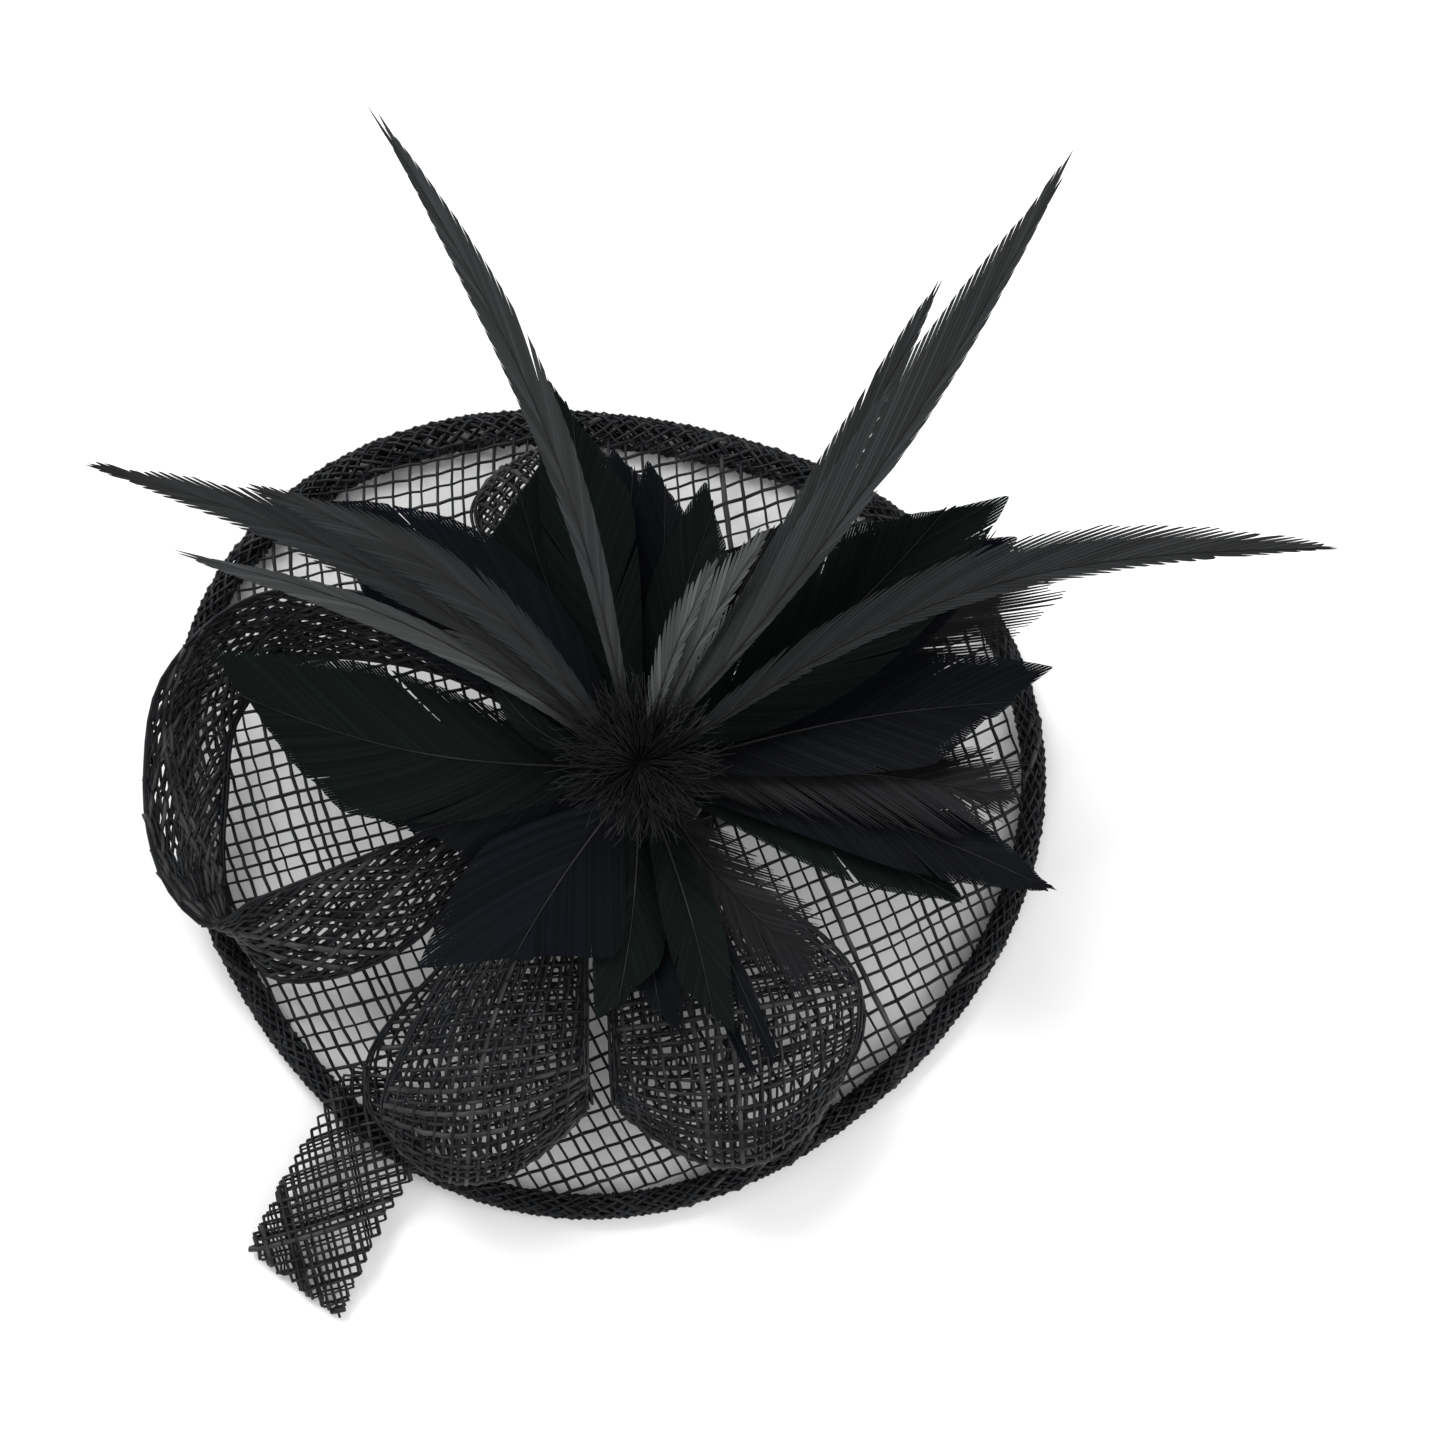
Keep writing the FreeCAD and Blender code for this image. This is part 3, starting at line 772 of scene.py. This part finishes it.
# %% [markdown]
# ## Feathers
# A feather is a quill with a row of barbs on each side. On a goose feather the barbs
# hook together into a smooth vane that splits here and there. On a cock hackle they lie
# almost along the quill and end in separate fine points. Both are made the same way:
# a grid gives one strip per barb, its edges are split so that each barb is free, and
# every barb is then laid from the quill out to the feather's outline. Each barb is
# tilted a little on its neighbour, like slats, and that is what makes the fine stripes.
# All the feathers of one layer lie on one cone, so that no layer cuts another.

# %% Sizes of the feather cluster
hub = Vector((6.5, 2.3)) * mm
hub_height = 24.5 * mm
layer_step = 0.9 * mm
layer_rise = [0.10, 0.14, 0.18, 0.22, 0.26, 0.31, 0.36, 0.42, 0.48, 0.55, 0.62, 0.70]
quill_root = 2.9 * mm

# gap: between barbs. root and tip: a barb's angle to the quill, in degrees.
# curl: how much a barb bends forward. end: width left at a barb's end.
# taper: how late it narrows. group: barbs that hook together. pull: how far they draw
# together. uneven: how much the ends differ. bends: pieces in a barb. quill: its radius.
feather_kinds = {
    "goose": dict(gap=0.32, root=42, tip=20, curl=0.15, end=0.9, taper=6, group=26, pull=0.05,
                  uneven=0.01, bends=6, quill=0.24, finishes=(goose_blue, goose_green)),
    "fringe": dict(gap=0.36, root=40, tip=22, curl=0.2, end=0.35, taper=4, group=9, pull=0.14,
                   uneven=0.16, bends=7, quill=0.22, finishes=(goose_sheer,)),
    "sheer": dict(gap=0.42, root=38, tip=24, curl=0.2, end=0.4, taper=3, group=7, pull=0.12,
                  uneven=0.10, bends=7, quill=0.20, finishes=(goose_sheer,)),
    "strip": dict(gap=0.36, root=24, tip=12, curl=0.1, end=0.9, taper=6, group=20, pull=0.03,
                  uneven=0.01, bends=5, quill=0.20, finishes=(goose_blue,)),
    "leaf": dict(gap=0.32, root=30, tip=14, curl=0.1, end=0.9, taper=6, group=30, pull=0.02,
                 uneven=0.01, bends=6, quill=0.24, finishes=(goose_green,)),
    # The hackle kinds and the fan differ in how much painted sheen their finish holds.
    "hackle": dict(gap=0.42, root=15, tip=6, curl=0.0, end=0.75, taper=8, group=14, pull=0.06,
                   uneven=0.015, bends=9, quill=0.14, finishes=(painted_sheen_hackle,)),
    "dark_hackle": dict(gap=0.42, root=18, tip=9, curl=0.0, end=0.4, taper=6, group=9, pull=0.12,
                        uneven=0.06, bends=9, quill=0.14, finishes=(faint_painted_sheen_hackle,)),
    "fan": dict(gap=0.46, root=24, tip=12, curl=0.0, end=0.3, taper=4, group=3, pull=0.16,
                uneven=0.10, bends=8, quill=0.12, finishes=(painted_sheen_fan,)),
}
print("feather layers:", len(layer_rise), "kinds:", len(feather_kinds))


# %% Feather shape
def outline_half(share, width, tip_width):
    """Half the feather's width at a share of its length."""
    if share >= 1:
        return tip_width / 2
    if share > 0.62:
        rest = (share - 0.62) / 0.38
        return (tip_width + (width - tip_width) * (1 - rest ** 1.5)) / 2
    rest = share / 0.62
    return width * (0.10 + 0.90 * math.sin(rest * math.pi / 2) ** 0.9) / 2


def quill_frame(tip, bow):
    """Function from a distance along the quill to its place and side direction in plan."""
    way = tip - hub
    length = way.length - quill_root
    out = way.normalized()
    side = Vector((-out.y, out.x))

    def along(s):
        share = s / length
        spot = hub + out * (quill_root + s) + side * (bow * math.sin(math.pi * share))
        slope = bow * math.pi / length * math.cos(math.pi * share)
        forward = (out + side * slope).normalized()
        return spot, Vector((-forward.y, forward.x))

    return along, length


def barb_strips(barbs, bends):
    """Unit sheet cut into free strips, each running along x."""
    bm = bmesh.new()
    bmesh.ops.create_grid(bm, x_segments=bends, y_segments=barbs, size=0.5)
    cuts = [edge for edge in bm.edges
            if len(edge.link_faces) == 2 and abs(edge.verts[0].co.y - edge.verts[1].co.y) < 1e-5]
    bmesh.ops.split_edges(bm, edges=cuts)
    return bm


def barb_plan(length, half_width, side, cut, kind, rng):
    """Root, angle, reach, group pull, tone and lift of every barb on one side."""
    gap, curl, pull = kind["gap"] * mm, kind["curl"], kind["pull"]
    slope, corner = cut
    last = length - abs(slope) * corner
    plan = []
    s = 0.05 * length
    while s < last - 0.2 * mm:
        size = max(2, int(kind["group"] * rng.uniform(0.5, 1.5)))
        turn, lift, shade = rng.uniform(-1.0, 1.0), rng.uniform(-1, 1), rng.uniform(0, 0.25)
        for member in range(size):
            share = s / length
            angle = kind["root"] + (kind["tip"] - kind["root"]) * min(1, share * 1.2)
            angle = math.radians(angle + turn)
            forward = 1 / math.tan(angle) + curl
            reach = 0.0
            while (reach < half_width((s + reach * forward) / length)
                   and s + reach * forward < last + slope * side * reach):
                reach += 0.06 * mm
            reach = max(reach, 0.1 * mm) * (1 - kind["uneven"] * rng.random() ** 2 * 1.5)
            shift = -pull * ((member + 0.5) / size - 0.5) * size * gap / math.sin(angle)
            # Random tone of each barb; on hackles it sets how much painted sheen the barb shows.
            tone = min(1, 0.15 + shade + 0.6 * rng.random() ** 1.5)
            plan.append((s, angle, reach, shift, tone, lift))
            s += gap / math.sin(angle)
            if s >= last - 0.2 * mm:
                break
    return plan


def barb_spot(barb, share, curl):
    """Distance along and away from the quill, at a share of the barb's length."""
    s, angle, reach, shift = barb[:4]
    s += reach * share / math.tan(angle) + (curl * reach + shift) * share ** 2
    return Vector((s, reach * share))


def lay_barbs(bm, plan, side, along, height, kind, cup, tone_layer):
    """Moves the unit strips on to the feather, one strip per barb."""
    gap, curl = kind["gap"] * mm, kind["curl"]
    barbs = len(plan)
    rows = [min(barbs - 1, int((face.calc_center_median().y + 0.5) * barbs)) for face in bm.faces]
    for face, row in zip(bm.faces, rows):
        for vert in face.verts:
            if vert.tag:
                continue
            vert.tag = True
            share = vert.co.x + 0.5
            edge = (vert.co.y + 0.5) * barbs - row - 0.5
            barb = plan[row]
            beside = plan[min(max(row + (1 if edge > 0 else -1), 0), barbs - 1)]
            here = barb_spot(barb, share, curl)
            step = barb_spot(beside, share, curl) - here
            widest = 1.4 * gap / math.sin(barb[1])
            if step.length < 1e-6:
                step = Vector((math.copysign(widest / 1.3, edge), 0))
            elif step.length > widest:
                step = step * (widest / step.length)
            fill = 1.08 + (kind["end"] - 1.08) * share ** kind["taper"]
            spot = here + step * (0.5 * fill)
            place, across = along(spot.x)
            place = place + across * (side * spot.y)
            z = height((place - hub).length) + cup * spot.y ** 2 + edge * side * 0.08 * mm
            vert.co = (place.x, place.y, z + barb[5] * 0.08 * mm * share)
            vert[tone_layer] = barb[4]


def make_feather(name, tip_x, tip_y, layer, width, tip_width, bow, slope, kind_name, balance, seed):
    """Feather from the binding to its cut tip: two vanes of free barbs and a quill."""
    kind = feather_kinds[kind_name]
    rng = random.Random(seed)
    along, length = quill_frame(Vector((tip_x, tip_y)) * mm, bow * mm)
    rise = layer_rise[layer]
    cup = rng.uniform(-0.012, 0.006) / mm
    corner = tip_width * mm / 2

    def height(distance):
        return hub_height + layer_step * layer + rise * distance

    whole = bmesh.new()
    for side in (-1, 1):
        fullness = 1 + balance * side

        def half_width(share):
            return outline_half(share, width * mm * fullness, tip_width * mm * fullness)

        plan = barb_plan(length, half_width, side, (slope, corner), kind, rng)
        bm = barb_strips(len(plan), kind["bends"])
        tone_layer = bm.verts.layers.float.new("tone")
        lay_barbs(bm, plan, side, along, height, kind, cup, tone_layer)
        bmesh.ops.solidify(bm, geom=bm.faces[:], thickness=0.05 * mm)
        add_to(whole, bm)
    close_mesh(whole)

    quill_length = length - abs(slope) * corner
    steps = 20
    spots = [along(quill_length * i / steps)[0] for i in range(steps + 1)]
    points = [(Vector((*spot, height((spot - hub).length) + 0.12 * mm)), 1 - 0.85 * i / steps)
              for i, spot in enumerate(spots)]
    vane_faces = len(whole.faces)
    add_to(whole, round_bar(points, kind["quill"] * mm))
    second_finish(whole, vane_faces)

    vane_finish = kind["finishes"][seed % len(kind["finishes"])]
    place_piece(name + "_vane", whole, [name],
                (vane_finish, quill_dark))


print("feather tools ready")

# %% The spray of feathers
# name, tip across, tip along, layer, widest width, width at the tip, sideways bow,
# slope of the cut across its tip, kind, how much fuller its left side is
feathers = [
    ("hackle_upper_left", -26, 80, 9, 5.0, 0.8, -5, 0, "hackle", -0.2),
    ("hackle_upper_right", 62, 73, 9, 7.0, 0.8, -3, 0, "hackle", 0.55),
    ("hackle_upper_right_side", 46, 61, 8, 5.0, 0.8, -2, 0, "hackle", 0.3),
    ("hackle_left", -64, 37, 8, 6.5, 0.8, -6, 0, "dark_hackle", -0.2),
    ("hackle_left_low", -52, 27, 7, 3.6, 0.8, -4, 0, "hackle", 0.2),
    ("hackle_left_high", -43, 34, 10, 6.5, 0.8, -5.5, 0, "dark_hackle", 0),
    ("hackle_right", 96, 25, 8, 7.0, 0.8, 9, 0, "dark_hackle", 0.5),
    ("fan_tip_left", 17, 27, 11, 4.0, 1.5, 1, 0, "fan", 0.4),
    ("fan_tip_middle", 24, 31, 10, 5.0, 1.5, 1, 0, "fan", 0.5),
    ("fan_tip_right", 31, 34, 7, 5.0, 1.5, 0, 0, "fan", 0.3),
    ("leaf_feather", -14, 14, 6, 4.0, 0.8, 3, 0, "leaf", 0),
    ("broad_feather_top", -3, 55.5, 4, 13.0, 7.0, 2, 1.5, "goose", -0.1),
    ("broad_feather_top_behind", 5.5, 48, 0, 12.0, 6.0, 1, 1.2, "goose", 0),
    ("broad_feather_top_left", -11, 43, 3, 17.0, 8.0, 2, -0.8, "goose", 0),
    ("broad_feather_top_right", 10, 45, 2, 11.0, 5.0, -1, 1.4, "goose", 0),
    ("broad_feather_notched", 18, 41, 3, 10.0, 5.0, 1, 1.3, "goose", 0),
    ("broad_feather_tucked", 27, 39, 1, 11.0, 5.0, 0, -1.3, "goose", 0),
    ("broad_feather_large", 53, 41, 5, 18.0, 11.0, -3, -1.2, "goose", 0),
    ("broad_feather_corner", 56, 35.5, 4, 14.0, 8.0, -2, -1.2, "goose", 0),
    ("sheer_feather", 63, 33, 0, 20.0, 14.0, -1, -0.3, "sheer", 0),
    ("broad_feather_right", 64, 10.5, 3, 16.0, 9.0, 2, 1.4, "goose", 0),
    ("fringed_feather", 60, -3, 2, 16.0, 11.0, 2, 0.3, "fringe", 0),
    ("pointed_feather_long", 63, -15, 1, 12.0, 1.0, 3, 0, "goose", 0),
    ("pointed_feather_short", 51, -16, 0, 11.0, 1.0, 2, 0, "goose", 0),
    ("sheer_feather_low", 33, -27, 1, 13.0, 9.0, -2, -0.6, "fringe", 0),
    ("stripped_feather_right", 25, -38, 2, 2.6, 1.5, 0, 0, "strip", 0),
    ("stripped_feather_left", 22, -40, 0, 2.2, 1.0, -1, 0, "strip", 0),
    ("bottom_feather_right", 17.5, -36, 3, 8.0, 4.5, 1, 1.5, "goose", 0),
    ("bottom_feather_middle", 10, -35, 1, 9.0, 5.0, -1, 1.3, "goose", 0),
    ("bottom_feather_left", 3, -34, 2, 10.0, 5.0, 1, -1.3, "goose", 0),
    ("square_feather", -14, -31, 3, 24.0, 22.0, -1, -0.62, "goose", 0),
    ("broad_feather_low_left", -36, 3, 1, 17.0, 7.0, 2, 1.2, "goose", 0),
    ("broad_feather_under_left", -28, -8, 2, 15.0, 8.0, 0, -1.0, "goose", 0),
    ("broad_feather_left", -54, 13.5, 3, 21.0, 8.0, 4, -1.6, "goose", 0),
    ("broad_feather_upper_left", -40, 33, 5, 19.0, 8.0, -5, -1.2, "goose", 0),
]
for seed, (name, *sizes) in enumerate(feathers):
    make_feather(name, *sizes, seed)

# %% [markdown]
# ## The middle: ribbon wrap, felt and bound quills
# Under the feathers, a length of the same ribbon is gathered tight round the loops'
# ends. A disc of felt is glued on it, and the quills are stuck to the felt in a fan and
# wound with thread. Little of this shows from above, but it does from the side, so each
# part is made properly: the wrap is woven like the loops and squeezed to a quarter of
# its width, and the winding is one long thread.

# %% Ribbon wrap and the ribbon ends inside it
wrap_low, wrap_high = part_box("centre_wrap")
wrap_middle = (wrap_low + wrap_high) / 2
wrap_height = wrap_high.z - wrap_low.z
wrap_radius = (wrap_high.x - wrap_low.x) / 2
wrap_width = 17 * mm
wrap_turns = 2
wrap_length = wrap_turns * 2 * math.pi * wrap_radius


def wrapped_ribbon(s, t):
    """Gathered ribbon, wound round the ribbon ends."""
    angle = s / wrap_radius
    fold = math.sin(t / wrap_width * 22 + 1.3 * math.sin(angle * 3))
    out = wrap_radius - 0.9 * mm + 0.4 * mm * s / wrap_length + 0.3 * mm * fold
    z = wrap_middle.z + t / wrap_width * wrap_height * 0.92
    return Vector((wrap_middle.x + out * math.cos(angle), wrap_middle.y + out * math.sin(angle), z))


def inside_wrap(s, t):
    return 0 <= s <= wrap_length and abs(t) <= wrap_width / 2


wrap = new_cloth("gathered_wrap")
weave(wrap, wrapped_ribbon, inside_wrap, (0, 90), (0, wrap_length, -wrap_width / 2, wrap_width / 2),
      seed=61, pitch=1.5 * mm)
wrap = finish_cloth(wrap, "centre_wrap")


def disc(radius, thickness, segments, rings, round_off):
    """Flat round pad with softened edges and rings of points across its two faces."""
    bm = bmesh.new()
    bmesh.ops.create_cone(bm, cap_ends=True, segments=segments, radius1=radius, radius2=radius,
                          depth=thickness)
    rims = [edge for edge in bm.edges if abs(edge.verts[0].co.z - edge.verts[1].co.z) < 1e-6]
    bmesh.ops.bevel(bm, geom=rims, offset=round_off, segments=3, profile=0.5,
                    affect="EDGES", material=-1)
    for _ in range(rings):
        caps = [face for face in bm.faces if len(face.verts) == segments]
        bmesh.ops.inset_individual(bm, faces=caps, thickness=radius / (rings + 2))
    return bm


def place_disc(bm, middle, sway, scale):
    """Moves a disc to its place and lets its felt rise and fall a little."""
    for vert in bm.verts:
        wave = noise.noise(vert.co * scale + Vector((middle.z * 900, 0, 0)))
        vert.co = vert.co * (1 + 0.012 * wave) + Vector((0, 0, sway * wave))
        vert.co += middle


ends = disc(wrap_radius - 1.5 * mm, wrap_height * 0.9, 72, 3, 0.5 * mm)
for vert in ends.verts:
    pleat = 1 + 0.05 * math.sin(14 * math.atan2(vert.co.y, vert.co.x))
    vert.co.x *= pleat
    vert.co.y *= pleat
place_disc(ends, wrap_middle, 0.05 * mm, 300)
place_piece("ribbon_ends", ends, ["centre_wrap"], (yarn_black,))


# %% Felt pads
def felt_pad(name, node, stitches):
    """Felt disc; stitches, if any, hold its lower edge to the cloth."""
    low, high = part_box(node)
    radius, thickness = (high.x - low.x) / 2, high.z - low.z
    middle = (low + high) / 2
    bm = disc(radius - 0.1 * mm, thickness * 0.94, 96, 6, 0.4 * mm)
    place_disc(bm, middle, 0.03 * mm, 400)
    felt_faces = len(bm.faces)
    rng = random.Random(len(name))
    for i in range(stitches):
        angle = 2 * math.pi * (i + rng.uniform(-0.15, 0.15)) / stitches
        out = Vector((math.cos(angle), math.sin(angle), 0))
        bite = rng.uniform(1.5, 2.1) * mm
        under = Vector((0, 0, -thickness / 2 - 0.05 * mm))
        path = [out * (radius - bite) + under * 0.75,
                out * (radius - bite + 0.3 * mm) + under,
                out * (radius - 0.4 * mm) + under,
                out * (radius + 0.05 * mm) + under * 0.6,
                out * (radius + 0.05 * mm) - under * 0.6]
        add_to(bm, round_bar([(middle + step, 1.0) for step in path], 0.16 * mm))
    if stitches:
        ring = [middle + Vector((math.cos(a), math.sin(a), 0)) * (radius + 0.1 * mm)
                for a in (2 * math.pi * i / 120 for i in range(120))]
        add_to(bm, round_bar([(spot, 1.0) for spot in ring], 0.16 * mm, closed=True))
    second_finish(bm, felt_faces)
    piece = place_piece(name, bm, [node], (felt_black, thread_black))


felt_pad("feather_felt", "feather_pad", 0)
felt_pad("backing_felt", "backing_pad", 44)

# %% Bound quills
bind_low, bind_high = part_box("quill_binding")
bind_middle = (bind_low + bind_high) / 2
bind_radius = (bind_high.x - bind_low.x) / 2
bind_height = bind_high.z - bind_low.z


def make_binding():
    """Bundle of quill ends with a thread wound round it."""
    rng = random.Random(71)
    whole = bmesh.new()
    spots = [(0.0, 0.0)]
    spots += [(bind_radius * 0.36, i * math.pi / 3) for i in range(6)]
    spots += [(bind_radius * 0.70, i * math.pi / 6 + 0.2) for i in range(12)]
    for out, angle in spots:
        x, y = bind_middle.x + out * math.cos(angle), bind_middle.y + out * math.sin(angle)
        top = bind_high.z - rng.uniform(0.05, 1.3) * mm
        points = [(Vector((x, y, bind_low.z + 0.02 * mm)), 1.0),
                  (Vector((x, y, top - 0.4 * mm)), 0.9),
                  (Vector((x * 0.98 + bind_middle.x * 0.02, y, top)), 0.5)]
        add_to(whole, round_bar(points, 0.46 * mm))
    quill_faces = len(whole.faces)
    thread = 0.2 * mm
    turns, steps = 26, 14
    points = []
    for i in range(turns * steps + 1):
        angle = 2 * math.pi * i / steps
        share = i / (turns * steps)
        out = bind_radius - thread + 0.06 * mm * math.sin(angle * 0.37)
        z = bind_low.z + thread + share * (bind_height - 2.2 * mm)
        x, y = bind_middle.x + out * math.cos(angle), bind_middle.y + out * math.sin(angle)
        points.append((Vector((x, y, z)), 1.0))
    add_to(whole, round_bar(points, thread))
    second_finish(whole, quill_faces)
    place_piece("bound_quills", whole, ["quill_binding"], (quill_dark, thread_black))


make_binding()


# %% Down over the bound quills
down_barbs = 620


def make_down():
    """Short black barbs stuck in the top of the binding; they fall outwards and hide it."""
    rng = random.Random(73)
    whole = bmesh.new()
    for _ in range(down_barbs):
        angle = rng.uniform(0, 2 * math.pi)
        length = rng.uniform(5.0, 11.5) * mm
        lift = rng.uniform(0.0, 1.0)
        start = Vector((bind_middle.x, bind_middle.y, bind_high.z - 0.3 * mm))
        start += Vector((math.cos(angle), math.sin(angle), 0)) * bind_radius * rng.random()
        turn = rng.uniform(-0.5, 0.5)
        points = []
        for j in range(5):
            share = j / 4
            reach = length * share
            heading = angle + turn * share
            out = Vector((math.cos(heading), math.sin(heading), 0)) * reach
            rise = (1.0 + 2.2 * lift) * mm * math.sin(1.9 * share)
            rise += (0.25 + 0.25 * lift) * reach * share
            points.append((start + out + Vector((0, 0, rise)), 1 - 0.7 * share))
        add_to(whole, round_bar(points, 0.13 * mm))
    place_piece("down_tuft", whole, ["quill_binding"], (down_black,))


make_down()

# %% [markdown]
# ## Small sewing, clip and wire
# Each ribbon is caught down with a few turns of black thread. The clip is exactly the
# shape that the frame gives, so it only gets its metal. Its spring is wound again from
# a path, in two pieces: a real spring's leg follows the thumb plate while its coil stays
# with the arm, so the leg rides on the jaw. It turns about the coil's own axis, and its
# end stays in the coil. The wire in the rolled edge is wound with black cotton.

# %% Tacking stitches
tack_spots = [
    (-7.5, -16), (-9.5, -26), (13, -17), (15.5, -27),
    (0, 22), (-4, 33), (-24, 22), (-34, -22),
]


def make_tacks():
    """Three small thread arches at every place where a ribbon is sewn down."""
    rng = random.Random(81)
    whole = bmesh.new()
    for x, y in tack_spots:
        for turn in range(3):
            start = Vector((x - 1.0, y + (turn - 1) * 0.45, 0)) * mm
            points = []
            for i in range(6):
                share = i / 5
                spot = start + Vector((2.0 * share, rng.uniform(-0.06, 0.06), 0)) * mm
                rise = 0.2 * mm + 0.5 * mm * math.sin(math.pi * share)
                points.append((Vector((spot.x, spot.y, dome_height(spot.x, spot.y) + rise)), 1.0))
            add_to(whole, round_bar(points, 0.13 * mm))
    place_piece("tacking_stitches", whole, ["stitch_tacks"], (thread_black,))


make_tacks()


# %% Clip spring
pin_low, pin_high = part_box("clip_pin")
spring_low, spring_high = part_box("clip_spring")
pin_middle = (pin_low + pin_high) / 2
spring_wire_radius = 0.3 * mm
coil_radius = pin_middle.x - spring_low.x - spring_wire_radius
coil_half = (spring_high.y - spring_low.y) / 2 - spring_wire_radius
leg_reach = spring_high.x - spring_wire_radius


def coil_point(turn, side):
    """Place on the coil, in turns from its leg; the side gives the way along the pin."""
    angle = 2 * math.pi * turn
    return Vector((pin_middle.x + coil_radius * math.cos(angle), side,
                   pin_middle.z + coil_radius * math.sin(angle)))


def make_spring():
    """Coil with the leg under the arm; the thumb's leg is a piece of its own."""
    turns, steps = 4, 20
    coil = [coil_point(i / steps, -coil_half + 2 * coil_half * i / (turns * steps))
            for i in range(turns * steps + 1)]
    arm_end = Vector((leg_reach, -coil_half, spring_high.z - spring_wire_radius))
    thumb_end = Vector((leg_reach, coil_half, spring_low.z + spring_wire_radius * 0.9))
    bars = (("spring_coil", [arm_end] + coil, ["clip_spring"], "headpiece"),
            ("spring_thumb_leg", [coil_point(0, coil_half), thumb_end], [], "jaw"))
    for name, path, nodes, body in bars:
        bar = round_bar([(spot, 1.0) for spot in path], spring_wire_radius, 3)
        place_piece(name, bar, nodes, (spring_wire,), body)


make_spring()


# %% Clip and wire
def finish_node(node, material):
    """Gives a piece of the frame its finish, through its own slots."""
    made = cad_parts[node]
    if not made.material_slots:
        made.data.materials.append(material)
    for place in made.material_slots:
        place.material = material


for node in ("clip_arm", "clip_jaw", "clip_pin"):
    finish_node(node, nickel_plate)
finish_node("rim_wire", thread_black)
print("clip and wire finished")
